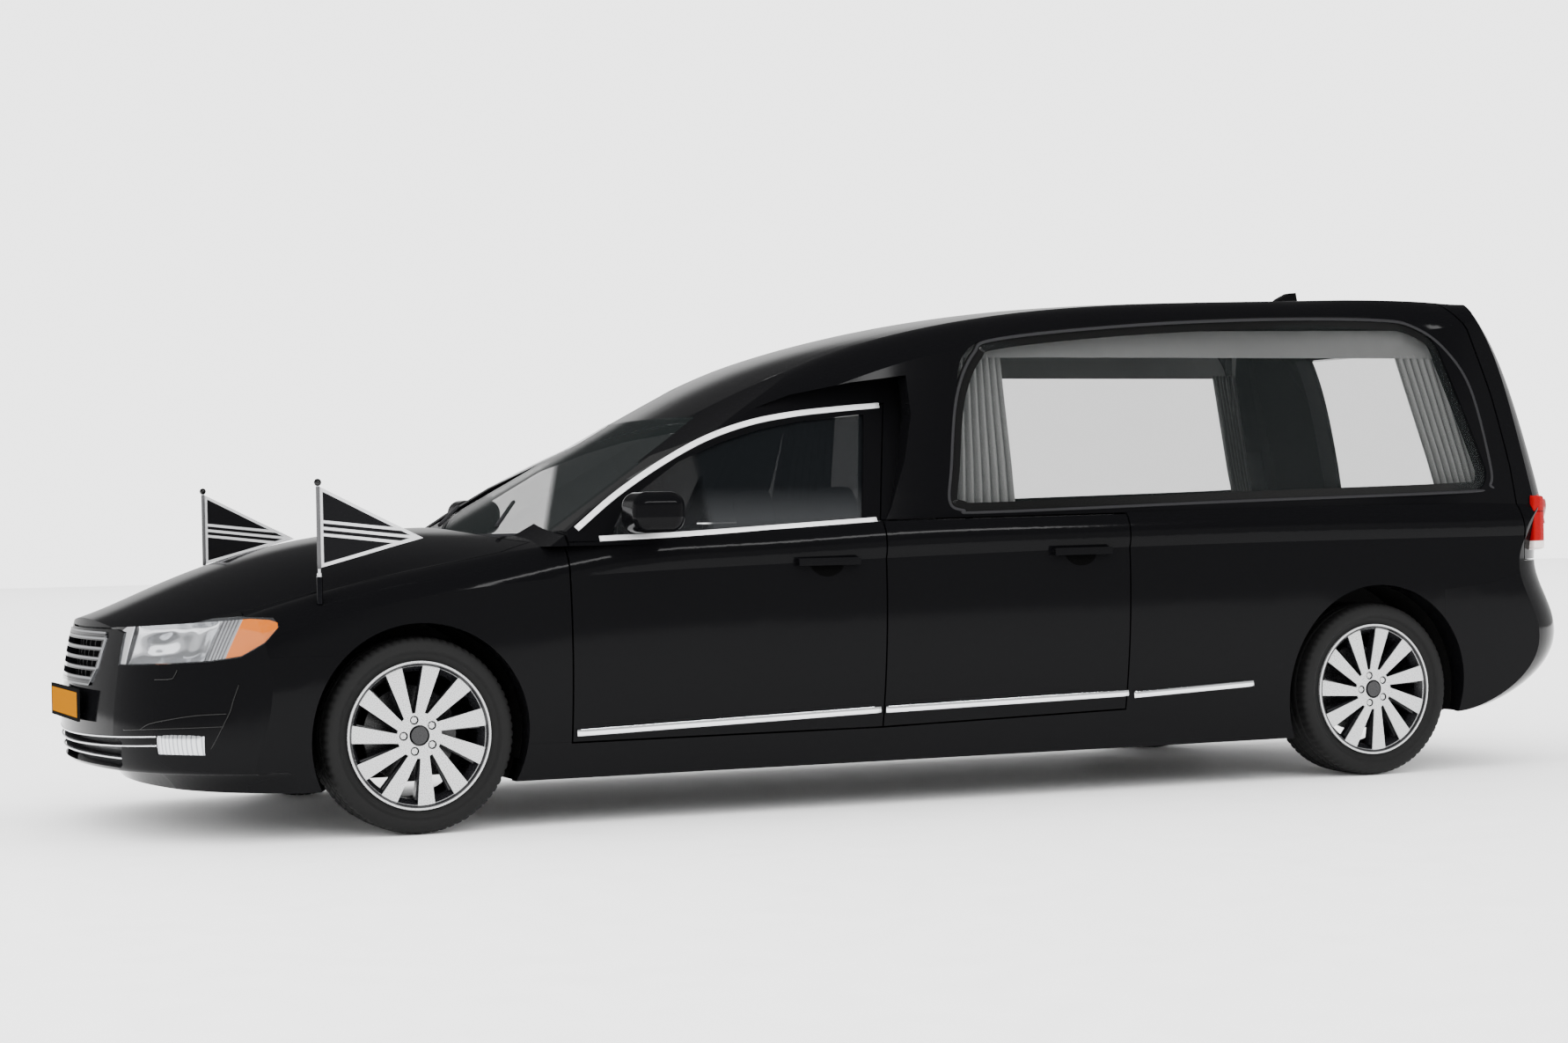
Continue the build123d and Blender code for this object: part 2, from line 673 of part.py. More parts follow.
with BuildPart() as rear_bumper:
    add(wall.part)
    add(side_prism(REAR_BUMPER, 0, -FAR), mode=Mode.INTERSECT)
    add(wells.part, mode=Mode.SUBTRACT)
write(rear_bumper.part, "rear_bumper")

with BuildPart() as floor_pan:
    add(wall.part)
    add(
        block(
            (REAR_X + 210, FRONT_X + 240 - SEAM), (-FLOOR_HALF, FLOOR_HALF), (60, FLOOR_TOP_Z + 60)
        ),
        mode=Mode.INTERSECT,
    )
    add(wells.part, mode=Mode.SUBTRACT)
write(floor_pan.part, "floor_pan")

# Nose: grille openings, their bars, lamps and plate
GRILLE = [(335, 684), (345, 664), (310, 560), (250, 502)]
LOWER_GRILLE = [(520, 338), (535, 325), (520, 250), (500, 240)]
GRILLE_BARS = 5
GRILLE_RIBS = 9
LOWER_BARS = 2
NOSE_BACK_X = FRONT_X + 700


def nose_body(depth):
    """Front end of the lower body, drawn back by a depth."""
    back = FRONT_X - 600
    with BuildPart() as body:
        loft([plan_section(z, n - depth, back, NOSE_PLAN, TAIL_PLAN) for z, n, t in LOWER_ENDS])
    return body.part


def nose_layer(near, far):
    """Layer of the nose between two depths behind its skin."""
    with BuildPart() as layer:
        add(nose_body(near))
        add(nose_body(far), mode=Mode.SUBTRACT)
        add(block((NOSE_BACK_X, FRONT_X + 1200), (-720, 720), (0, BELT_Z)), mode=Mode.INTERSECT)
    return layer.part


FOG_Y = 752
FOG_Z = 322
FOG_X = FRONT_X + 830
FOG = (540, 133, 62)
with BuildPart() as fog_space:
    for side in (-1, 1):
        with Locations((FOG_X, side * FOG_Y, FOG_Z)):
            Box(*FOG)

with BuildPart() as front_bumper:
    add(wall.part)
    add(side_prism(FRONT_BUMPER, 0, -FAR), mode=Mode.INTERSECT)
    add(bonnet_prism(PANEL_GAP), mode=Mode.SUBTRACT)
    add(side_prism(HEAD_LAMP, SEAM, LAMP_INNER_Y - SEAM), mode=Mode.SUBTRACT)
    add(mirrored(side_prism(HEAD_LAMP, SEAM, LAMP_INNER_Y - SEAM)), mode=Mode.SUBTRACT)
    add(wells.part, mode=Mode.SUBTRACT)
    add(front_prism(GRILLE, 0, NOSE_BACK_X, FRONT_X + 1200), mode=Mode.SUBTRACT)
    add(front_prism(LOWER_GRILLE, 0, NOSE_BACK_X, FRONT_X + 1200), mode=Mode.SUBTRACT)
    add(fog_space.part, mode=Mode.SUBTRACT)
write(biggest(front_bumper.part), "front_bumper")

with BuildPart() as fog_lamps:
    for side in (-1, 1):
        with Locations((FOG_X, side * FOG_Y, FOG_Z)):
            Box(FOG[0], FOG[1] - 2 * SEAM, FOG[2] - 2 * SEAM)
    add(nose_layer(6, 80), mode=Mode.INTERSECT)
write(fog_lamps.part, "fog_lamps")

GRILLE_RIM = 16
GRILLE_BAR = 13
with BuildPart() as grille:
    add(front_prism(GRILLE, -SEAM, NOSE_BACK_X, FRONT_X + 1200))
    add(front_prism(GRILLE, -GRILLE_RIM, NOSE_BACK_X, FRONT_X + 1200), mode=Mode.SUBTRACT)
    for index in range(GRILLE_BARS):
        z = GRILLE[-1][1] + (GRILLE[0][1] - GRILLE[-1][1]) * (index + 0.7) / (GRILLE_BARS + 0.4)
        with Locations((FRONT_X + 900, 0, z)):
            Box(600, 700, GRILLE_BAR)
    add(front_prism(GRILLE, -SEAM, NOSE_BACK_X, FRONT_X + 1200), mode=Mode.INTERSECT)
    add(nose_layer(-6, 34), mode=Mode.INTERSECT)
write(grille.part, "grille")

RIB_GAP = 9
RIB_PITCH = 2 * GRILLE[1][0] / GRILLE_RIBS
with BuildPart() as grille_slots:
    for index in range(GRILLE_RIBS):
        with Locations((FRONT_X + 900, RIB_PITCH * (index + 0.5) - GRILLE[1][0], BELT_Z - 400)):
            Box(600, RIB_PITCH - RIB_GAP, 400)
    add(nose_layer(20, 54), mode=Mode.INTERSECT)

with BuildPart() as grille_back:
    add(front_prism(GRILLE, -SEAM, NOSE_BACK_X, FRONT_X + 1200))
    add(nose_layer(34 + SEAM, 70), mode=Mode.INTERSECT)
    add(grille_slots.part, mode=Mode.SUBTRACT)
write(biggest(grille_back.part), "grille_back")

LOWER_BAR = 10
LOWER_STEP = (LOWER_GRILLE[0][1] - LOWER_GRILLE[-1][1]) / (LOWER_BARS + 1)
with BuildPart() as lower_bars:
    for index in range(LOWER_BARS):
        with Locations((FRONT_X + 900, 0, LOWER_GRILLE[-1][1] + LOWER_STEP * (index + 1))):
            Box(600, 2 * LOWER_GRILLE[1][0], LOWER_BAR)
    add(front_prism(LOWER_GRILLE, -SEAM, NOSE_BACK_X, FRONT_X + 1200), mode=Mode.INTERSECT)
    add(nose_layer(6, 48), mode=Mode.INTERSECT)

with BuildPart() as lower_grille:
    add(front_prism(LOWER_GRILLE, -SEAM, NOSE_BACK_X, FRONT_X + 1200))
    add(nose_layer(44, 62), mode=Mode.INTERSECT)
    add(lower_bars.part)
write(biggest(lower_grille.part), "lower_grille")

# Number plates, blank, on their brackets
PLATE = (8, 520, 110)
BRACKET = (60, 300, 70)
FRONT_PLATE_Z = 437
REAR_PLATE_Z = 905
with BuildPart() as front_plate:
    with Locations((FRONT_X + FRONT_OVERHANG - PLATE[0] / 2, 0, FRONT_PLATE_Z)):
        Box(*PLATE)
    with Locations((FRONT_X + FRONT_OVERHANG - PLATE[0] - BRACKET[0] / 2, 0, FRONT_PLATE_Z)):
        Box(*BRACKET)
    add(front_bumper.part, mode=Mode.SUBTRACT)
write(biggest(front_plate.part), "front_plate")

with BuildPart() as rear_plate:
    with Locations((REAR_X - REAR_OVERHANG + 40, 0, REAR_PLATE_Z)):
        Box(*PLATE)
    with Locations((REAR_X - REAR_OVERHANG + 40 + BRACKET[0] / 2, 0, REAR_PLATE_Z)):
        Box(*BRACKET)
    add(tailgate.part, mode=Mode.SUBTRACT)
write(biggest(rear_plate.part), "rear_plate")

# Wheels: cast rims with leaning spokes, tyres, and what carries them
SPOKES = 11
LUGS = 5
LUG_CIRCLE_R = 54
LUG_POCKET_R = 15
CAP_R = 31
RIM_HALF = 106
RIM_WALL = 9
FACE_Y = 96
HUB_R = 64
HUB_FACE_R = 76
DISC_R = 160
DISC_Y = -38
SPINDLE_R = 24
SPINDLE_CLEAR = 0.5
RIM_PROFILE = [
    (-RIM_HALF, RIM_R),
    (-RIM_HALF, RIM_R - 16),
    (-RIM_HALF + 40, RIM_R - 34),
    (RIM_HALF - 40, RIM_R - 34),
    (RIM_HALF, RIM_R - 11),
    (RIM_HALF, RIM_R),
    (RIM_HALF - RIM_WALL, RIM_R),
    (RIM_HALF - RIM_WALL, RIM_R - 6),
    (RIM_HALF - 44, RIM_R - 26),
    (44 - RIM_HALF, RIM_R - 26),
    (RIM_WALL - RIM_HALF, RIM_R - 8),
    (RIM_WALL - RIM_HALF, RIM_R),
]


def spoke_face(tip, depth):
    """One straight spoke leaning back from the hub, widening to a tip on the rim's circle, at a depth in the wheel."""
    foot, lean = HUB_FACE_R - 14, -46
    ends = [lean - 29, lean + 29]
    heights = [(tip**2 - x**2) ** 0.5 for x in ends]
    with BuildSketch(Plane.XZ.offset(-depth)) as spoke:
        with BuildLine():
            Line((-15, foot), (15, foot))
            Line((15, foot), (ends[1], heights[1]))
            Line((ends[1], heights[1]), (ends[0], heights[0]))
            Line((ends[0], heights[0]), (-15, foot))
        make_face()
    return spoke.sketch


with BuildPart() as one_spoke:
    extrude(spoke_face(RIM_R - 13, FACE_Y - 12), amount=-16)
    extrude(spoke_face(RIM_R - 32, FACE_Y - 38), amount=-26)

with BuildPart() as rim:
    with BuildSketch(Plane.YZ):
        with BuildLine():
            Polyline(*RIM_PROFILE, close=True)
        make_face()
    revolve(axis=Axis.Y)
    for index in range(SPOKES):
        add(one_spoke.part.rotate(Axis.Y, 360 / SPOKES * index))
    with BuildSketch(Plane.XZ.offset(16 - DISC_Y)):
        Circle(HUB_R)
    extrude(amount=-(FACE_Y - DISC_Y - 12))
    with BuildSketch(Plane.XZ.offset(-(FACE_Y - 38))):
        Circle(HUB_FACE_R)
    extrude(amount=-42)
    with BuildSketch(Plane.XZ.offset(-(FACE_Y - 12))):
        with PolarLocations(LUG_CIRCLE_R, LUGS):
            Circle(LUG_POCKET_R)
        Circle(CAP_R + 4)
    extrude(amount=-20, mode=Mode.SUBTRACT)
    with BuildSketch(Plane.XZ.offset(-DISC_Y)):
        Circle(DISC_R)
    extrude(amount=-26)
    with BuildSketch(Plane.XZ.offset(-(FACE_Y - 30))):
        with PolarLocations(LUG_CIRCLE_R, LUGS):
            RegularPolygon(11, 6)
    extrude(amount=-30)
    with BuildSketch(Plane.XZ.offset(-(FACE_Y - 30))):
        Circle(CAP_R)
    extrude(amount=-36, taper=4)
    with BuildSketch(Plane.XZ.offset(-(DISC_Y - 40))):
        Circle(SPINDLE_R + SPINDLE_CLEAR)
    extrude(amount=-90, mode=Mode.SUBTRACT)

with BuildPart() as tyre:
    half = TYRE_WIDTH / 2
    bead = RIM_HALF - RIM_WALL - SEAM
    with BuildSketch(Plane.YZ):
        with BuildLine():
            Line((-bead + 36, RIM_R - 25.5), (bead - 36, RIM_R - 25.5))
            Line((bead - 36, RIM_R - 25.5), (bead, RIM_R - 5.5))
            Line((bead, RIM_R - 5.5), (bead, RIM_R + SEAM))
            ThreePointArc((bead, RIM_R + SEAM), (half, (RIM_R + TYRE_R) / 2 - 4), (half - 10, TYRE_R - 14))
            ThreePointArc((half - 10, TYRE_R - 14), (half - 16, TYRE_R - 6), (half - 30, TYRE_R - 2))
            ThreePointArc((half - 30, TYRE_R - 2), (0, TYRE_R), (30 - half, TYRE_R - 2))
            ThreePointArc((30 - half, TYRE_R - 2), (16 - half, TYRE_R - 6), (10 - half, TYRE_R - 14))
            ThreePointArc((10 - half, TYRE_R - 14), (-half, (RIM_R + TYRE_R) / 2 - 4), (-bead, RIM_R + SEAM))
            Line((-bead, RIM_R + SEAM), (-bead, RIM_R - 5.5))
            Line((-bead, RIM_R - 5.5), (-bead + 36, RIM_R - 25.5))
        make_face()
    revolve(axis=Axis.Y)


def placed(part, x, y, z, turn=0):
    """A piece made at the origin, turned about Z and set at a place."""
    with BuildPart() as piece:
        add(part.moved(Location((x, y, z), (0, 0, turn))))
    return piece.part


for name, x, side, radius, inner in WHEELS:
    turn = 0 if side > 0 else 180
    write(placed(rim.part, x, side * WHEEL_Y, TYRE_R, turn), f"rim_{name}")
    write(placed(tyre.part, x, side * WHEEL_Y, TYRE_R, turn), f"tyre_{name}")

# Front knuckles on their kingpins, arms, subframe and the rear axle
KINGPIN_Y = 706
KNUCKLE = (70, 30)
PIN_R = 14
PIN_CLEAR = 0.4
ARM_WALL = 22
KNUCKLE_LOW_Z = FLOOR_TOP_Z + ARM_WALL + 2
KNUCKLE_TOP_Z = 452
SPINDLE_END = WHEEL_Y - 8
with BuildPart() as knuckle:
    with Locations((FRONT_X, KINGPIN_Y, (KNUCKLE_LOW_Z + KNUCKLE_TOP_Z) / 2)):
        Box(KNUCKLE[0], KNUCKLE[1], KNUCKLE_TOP_Z - KNUCKLE_LOW_Z)
    fillet(knuckle.edges().filter_by(Axis.Y), 12)
    with BuildSketch(Plane.XZ.offset(-KINGPIN_Y)):
        with Locations((FRONT_X, TYRE_R)):
            Circle(SPINDLE_R)
    extrude(amount=KINGPIN_Y - SPINDLE_END)
    with Locations((FRONT_X, KINGPIN_Y, (KNUCKLE_LOW_Z + KNUCKLE_TOP_Z) / 2)):
        Cylinder(PIN_R, KNUCKLE_TOP_Z - KNUCKLE_LOW_Z + 2 * ARM_WALL)
write_pair(knuckle.part, "knuckle")

SUBFRAME_HALF = 440
SUBFRAME_LOW_Z = 176
SUBFRAME_TOP_Z = 262
TOWER_TOP_Z = KNUCKLE_TOP_Z + SPINDLE_CLEAR + ARM_WALL
with BuildPart() as front_suspension:
    add(
        block(
            (FRONT_X - 160, FRONT_X + 130),
            (-SUBFRAME_HALF, SUBFRAME_HALF),
            (FLOOR_TOP_Z + SEAM, SUBFRAME_TOP_Z),
        )
    )
    for side in (-1, 1):
        add(
            block(
                (FRONT_X - 60, FRONT_X + 60),
                (side * (SUBFRAME_HALF - 60), side * SUBFRAME_HALF),
                (FLOOR_TOP_Z + SEAM, TOWER_TOP_Z),
            )
        )
        for z in (KNUCKLE_LOW_Z - SPINDLE_CLEAR - ARM_WALL / 2, TOWER_TOP_Z - ARM_WALL / 2):
            with BuildSketch(Plane.XY.offset(z - ARM_WALL / 2)):
                with BuildLine():
                    Polyline(
                        (FRONT_X - 60, side * (SUBFRAME_HALF - 20)),
                        (FRONT_X + 60, side * (SUBFRAME_HALF - 20)),
                        (FRONT_X + 20, side * (KINGPIN_Y + 20)),
                        (FRONT_X - 20, side * (KINGPIN_Y + 20)),
                        close=True,
                    )
                make_face()
                with Locations((FRONT_X, side * KINGPIN_Y)):
                    Circle(PIN_R + PIN_CLEAR, mode=Mode.SUBTRACT)
            extrude(amount=ARM_WALL)
write(front_suspension.part, "front_suspension")

AXLE_Z = TYRE_R - 34
with BuildPart() as rear_axle:
    with Locations(Location((REAR_X, 0, AXLE_Z), (90, 0, 0))):
        Cylinder(38, 2 * (KINGPIN_Y - 20))
    for side in (-1, 1):
        with Locations((REAR_X, side * (KINGPIN_Y - 10), TYRE_R - 14)):
            Box(110, 40, 150)
        with Locations(Location((REAR_X, side * (KINGPIN_Y + SPINDLE_END) / 2, TYRE_R), (90, 0, 0))):
            Cylinder(SPINDLE_R, SPINDLE_END - KINGPIN_Y + 20)
        add(block((REAR_X, REAR_X + 210 - SEAM), (side * 510, side * 570), (FLOOR_TOP_Z - 40, AXLE_Z)))
write(rear_axle.part, "rear_axle")

ENGINE = (560, 640)
ENGINE_TOP_Z = 720
with BuildPart() as engine:
    with Locations((FRONT_X + 90, 0, (SUBFRAME_TOP_Z + SEAM + ENGINE_TOP_Z) / 2)):
        Box(ENGINE[0], ENGINE[1], ENGINE_TOP_Z - SUBFRAME_TOP_Z - SEAM)
    chamfer(engine.edges().filter_by(Axis.Y), 40)
write(engine.part, "engine")

# Wheelhouse liners
LINER = 4
with BuildPart() as wheel_liners:
    for name, x, side, radius, inner in WHEELS:
        shell = radius + WELL_DEPTH
        with Locations(Location((x, side * (inner + WELL_LIP_Y) / 2, TYRE_R), (90, 0, 0))):
            Cylinder(shell - SEAM, WELL_LIP_Y - inner - 2 * SEAM)
        with Locations(Location((x, side * (inner + LINER + WELL_LIP_Y + 40) / 2, TYRE_R), (90, 0, 0))):
            Cylinder(shell - LINER, WELL_LIP_Y - inner + 40 - LINER, mode=Mode.SUBTRACT)
        add(
            block((x - 500, x + 500), (side * (inner - 20), side * FAR), (-400, FLOOR_TOP_Z)),
            mode=Mode.SUBTRACT,
        )
        add(block((x - 90, x + 90), (side * (inner - 20), side * FAR), (0, TOWER_TOP_Z + 10)), mode=Mode.SUBTRACT)
write(wheel_liners.part, "wheel_liners")

# Mirrors and handles on the front doors
MIRROR = (186, 196, 138)
MIRROR_X = FRONT_X - 800
MIRROR_Y = HALF + 58
MIRROR_Z = BELT_Z + 48
with BuildPart() as door_mirror:
    with Locations((MIRROR_X, MIRROR_Y, MIRROR_Z)):
        Box(*MIRROR)
    fillet(door_mirror.edges(), 52)
    with Locations((MIRROR_X + 14, HALF - 40, MIRROR_Z - 56)):
        Box(64, 120, 22)
    add(front_door.part, mode=Mode.SUBTRACT)
    add(front_door_glass.part, mode=Mode.SUBTRACT)
write_pair(biggest(door_mirror.part), "door_mirror")

# Flags on their poles at the front fenders
FLAG_X = FRONT_X + 322
FLAG_Y = 862
FLAG_FOOT_Z = 770
FLAG_TOP_Z = 1158
FLAG_LOW_Z = 888
FLAG_LENGTH = 352
POLE_R = 5
with BuildPart() as flag_pole:
    with Locations((FLAG_X, FLAG_Y, (FLAG_FOOT_Z + FLAG_TOP_Z) / 2)):
        Cylinder(POLE_R, FLAG_TOP_Z - FLAG_FOOT_Z)
    with Locations((FLAG_X, FLAG_Y, FLAG_FOOT_Z + 45)):
        Cylinder(POLE_R + 5, 90)
    with Locations((FLAG_X, FLAG_Y, FLAG_FOOT_Z + 96)):
        Cylinder(POLE_R + 3, 8)
    with Locations((FLAG_X, FLAG_Y, FLAG_TOP_Z + 8)):
        Sphere(12)
    add(fender.part, mode=Mode.SUBTRACT)

with BuildPart() as flag_poles:
    add(biggest(flag_pole.part))
    mirror(about=Plane.XZ)
write(flag_poles.part, "flag_poles")

with BuildPart() as flag:
    with BuildSketch(Plane.XZ.offset(-(FLAG_Y - 1.5))):
        with BuildLine():
            Polyline(
                (FLAG_X - POLE_R - SEAM, FLAG_TOP_Z - 6),
                (FLAG_X - POLE_R - SEAM, FLAG_LOW_Z),
                (FLAG_X - FLAG_LENGTH, (FLAG_LOW_Z * 2 + FLAG_TOP_Z) / 3),
                close=True,
            )
        make_face()
    extrude(amount=-3)
write_pair(flag.part, "flag")

# Cabin and load space
BULKHEAD_X = FRONT_X - 470
PARTITION_X = FRONT_X - 1985
DECK_TOP_Z = BELT_Z - 130
DECK = 24
DECK_HALF = 700
DECK_REAR_X = REAR_X - 700
TRIM = 12
BULKHEAD = [(560, BELT_Z - 88), (730, BELT_Z - 132), (770, 640), (770, FLOOR_TOP_Z + SEAM)]
PARTITION = [(738, BELT_Z + 90), (760, BELT_Z - 50), (778, 640), (778, FLOOR_TOP_Z + SEAM)]
with BuildPart() as bulkhead:
    add(front_prism(BULKHEAD, 0, BULKHEAD_X - TRIM, BULKHEAD_X))
write(bulkhead.part, "bulkhead")

with BuildPart() as partition:
    add(front_prism(PARTITION, 0, PARTITION_X, PARTITION_X + TRIM))
write(partition.part, "partition")

RAIL = (30, 12)
RAIL_Y = 250
ROLLER_R = 16
ROLLERS = 6
with BuildPart() as deck:
    add(
        block((DECK_REAR_X, PARTITION_X - SEAM), (-DECK_HALF, DECK_HALF), (DECK_TOP_Z - DECK, DECK_TOP_Z))
    )
    for side in (-1, 1):
        add(
            block(
                (REAR_X + 260, PARTITION_X - SEAM),
                (side * 560, side * (560 - DECK)),
                (FLOOR_TOP_Z + SEAM, DECK_TOP_Z - DECK),
            )
        )
        add(
            block(
                (DECK_REAR_X + 30, PARTITION_X - 90),
                (side * (RAIL_Y - RAIL[0] / 2), side * (RAIL_Y + RAIL[0] / 2)),
                (DECK_TOP_Z, DECK_TOP_Z + RAIL[1]),
            )
        )
    for index in range(ROLLERS):
        x = DECK_REAR_X + 60 + (PARTITION_X - DECK_REAR_X - 240) * index / (ROLLERS - 1)
        with Locations(Location((x, 0, DECK_TOP_Z - 2), (90, 0, 0))):
            Cylinder(ROLLER_R, 2 * RAIL_Y)
write(deck.part, "deck")


CURTAIN_LOW_Z = BELT_Z + 24
CURTAIN_TOP_Z = SIDE_WINDOW_TOP_Z - 130
FRONT_CURTAIN = [
    (SIDE_WINDOW_FRONT_X - 30, CURTAIN_LOW_Z),
    (SIDE_WINDOW_FRONT_X - 110, CURTAIN_TOP_Z),
    (SIDE_WINDOW_FRONT_X - 318, CURTAIN_TOP_Z),
    (SIDE_WINDOW_FRONT_X - 318, CURTAIN_LOW_Z),
]
REAR_CURTAIN = [
    (SIDE_WINDOW_REAR_X + 205, CURTAIN_LOW_Z),
    (SIDE_WINDOW_REAR_X + 355, CURTAIN_TOP_Z),
    (SIDE_WINDOW_REAR_X + 118, CURTAIN_TOP_Z),
    (SIDE_WINDOW_REAR_X - 16, CURTAIN_LOW_Z),
]
PELMET = [
    (SIDE_WINDOW_FRONT_X - 110, CURTAIN_TOP_Z - 10),
    (SIDE_WINDOW_FRONT_X - 110, CURTAIN_TOP_Z + 90),
    (SIDE_WINDOW_REAR_X + 118, CURTAIN_TOP_Z + 112),
    (SIDE_WINDOW_REAR_X + 118, CURTAIN_TOP_Z - 10),
]
CURTAIN = 16
with BuildPart() as hung_outline:
    for outline in (FRONT_CURTAIN, REAR_CURTAIN, PELMET):
        add(side_prism(outline, 0, 300))

with BuildPart() as curtains:
    add(
        side_layer(
            INNER_FOOT_Z, UPPER_WALL + SEAM, UPPER_WALL + SEAM + CURTAIN, TOP_WALL + SEAM, TOP_WALL + SEAM + CURTAIN
        )
    )
    add(hung_outline.part, mode=Mode.INTERSECT)
write_pair(biggest(curtains.part), "curtains")

# Fixed glass of the load space
GLASS_NEAR = 8
GLASS_FAR = 14
with BuildPart() as side_glass:
    add(side_layer(UPPER_FOOT_Z, GLASS_NEAR, GLASS_FAR, GLASS_NEAR, GLASS_FAR))
    add(window_prism(SEAM, 400, FAR), mode=Mode.INTERSECT)
write_pair(biggest(side_glass.part), "side_glass")

# Front seats, dashboard and steering wheel
SEAT_X = FRONT_X - 1500
SEAT_Y = 375
SEAT_WIDTH = 500
SEAT_PROFILE = [
    (300, 330),
    (290, 470),
    (-20, 440),
    (-190, 930),
    (-300, 930),
    (-250, 640),
    (-170, 330),
]
HEADREST = (90, 260, 170)
with BuildPart() as front_seat:
    with BuildSketch(Plane.XZ.offset(-(SEAT_Y - SEAT_WIDTH / 2))):
        with BuildLine():
            Polyline(*[(SEAT_X + x, z) for x, z in SEAT_PROFILE], close=True)
        make_face()
    extrude(amount=-SEAT_WIDTH)
    fillet(front_seat.edges().filter_by(Axis.Y), 38)
    with Locations((SEAT_X - 255, SEAT_Y, 1050)):
        Box(*HEADREST)
    for side in (-70, 70):
        with Locations((SEAT_X - 250, SEAT_Y + side, 940)):
            Cylinder(7, 120)
    with Locations((SEAT_X + 60, SEAT_Y, (FLOOR_TOP_Z + SEAM + 345) / 2)):
        Box(380, 360, 345 - FLOOR_TOP_Z - SEAM)
write_pair(front_seat.part, "front_seat")

WHEEL_HUB_X = BULKHEAD_X - 545
WHEEL_HUB_Z = 868
RIM_RADIUS = 182
WHEEL_TILT = 24
COLUMN_DROP = 90
wheel_place = Location((WHEEL_HUB_X, SEAT_Y, WHEEL_HUB_Z), (0, WHEEL_TILT - 90, 0))
DASH_HALF = 745
DASH_PROFILE = [
    (-14, 520),
    (-14, 905),
    (-180, 938),
    (-360, 925),
    (-440, 860),
    (-420, 740),
    (-330, 690),
    (-300, 560),
]
with BuildPart() as dashboard:
    with BuildSketch(Plane.XZ.offset(DASH_HALF)):
        with BuildLine():
            Polyline(*[(BULKHEAD_X + x, z) for x, z in DASH_PROFILE], close=True)
        make_face()
    extrude(amount=-2 * DASH_HALF)
    fillet(dashboard.edges().filter_by(Axis.Y).sort_by(Axis.X)[:3], 30)
    with Locations((BULKHEAD_X - 330, 0, (FLOOR_TOP_Z + SEAM + 700) / 2)):
        Box(180, 230, 700 - FLOOR_TOP_Z - SEAM)
    with Locations((BULKHEAD_X - 600, 0, (FLOOR_TOP_Z + SEAM + 520) / 2)):
        Box(720, 210, 520 - FLOOR_TOP_Z - SEAM)
    with Locations(wheel_place * Location((0, 0, -COLUMN_DROP - 0.5 - 80))):
        Cylinder(34, 160)
write(dashboard.part, "dashboard")

with BuildPart() as steering_wheel:
    Torus(RIM_RADIUS, 15)
    Cylinder(58, 44)
    with Locations((0, 0, -COLUMN_DROP / 2)):
        Cylinder(26, COLUMN_DROP)
    for angle in (90, 210, 330):
        with Locations(Location((0, 0, 0), (0, 0, angle)) * Location((RIM_RADIUS / 2, 0, 0))):
            Box(RIM_RADIUS, 34, 16)

with BuildPart() as set_wheel:
    add(steering_wheel.part.moved(wheel_place))
write(set_wheel.part, "steering_wheel")

# Exhaust under the floor
PIPE_R = 24
PIPE_Y = -240
PIPE_Z = SILL_Z - PIPE_R - 8
PIPE_FRONT_X = FRONT_X - 640
PIPE_REAR_X = REAR_X + 240
SILENCER = (520, 240, 58)
with BuildPart() as exhaust:
    with Locations(Location(((PIPE_FRONT_X + PIPE_REAR_X) / 2, PIPE_Y, PIPE_Z), (0, 90, 0))):
        Cylinder(PIPE_R, PIPE_FRONT_X - PIPE_REAR_X)
    with Locations(((PIPE_FRONT_X + PIPE_REAR_X) / 2, PIPE_Y, PIPE_Z)):
        Box(*SILENCER)
    for x in (PIPE_FRONT_X - 160, PIPE_REAR_X + 160):
        add(block((x - 12, x + 12), (PIPE_Y - 12, PIPE_Y + 12), (PIPE_Z, SILL_Z - SEAM)))
write(exhaust.part, "exhaust")
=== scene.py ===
"""Looks of the hearse: finishes for its solids, and the trim, cloth, tread and lamp detail built on them."""
import math

import bpy
import numpy as np
from mathutils import Matrix


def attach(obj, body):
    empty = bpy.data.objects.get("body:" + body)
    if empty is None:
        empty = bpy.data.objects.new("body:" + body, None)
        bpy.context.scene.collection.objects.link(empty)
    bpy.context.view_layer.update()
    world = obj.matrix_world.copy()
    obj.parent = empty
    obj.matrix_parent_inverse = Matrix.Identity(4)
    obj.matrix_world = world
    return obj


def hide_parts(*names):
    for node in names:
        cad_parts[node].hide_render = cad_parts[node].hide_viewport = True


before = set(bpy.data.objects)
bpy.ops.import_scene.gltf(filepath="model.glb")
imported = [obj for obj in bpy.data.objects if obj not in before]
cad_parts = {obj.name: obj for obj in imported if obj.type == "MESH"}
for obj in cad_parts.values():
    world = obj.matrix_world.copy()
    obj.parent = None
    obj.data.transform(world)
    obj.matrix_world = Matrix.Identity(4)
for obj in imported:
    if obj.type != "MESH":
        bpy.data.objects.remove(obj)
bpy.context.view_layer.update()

# Places shared with the solids, in metres
FRONT_X, REAR_X = 1.9155, -1.8495
HALF, BELT = 0.9305, 1.0
WHEEL_Y, TYRE_R, RIM_R = 0.78, 0.327, 0.246
CAB_INSET, CAB_LEAN = 0.056, 0.545
SIDES = (("left", 1), ("right", -1))

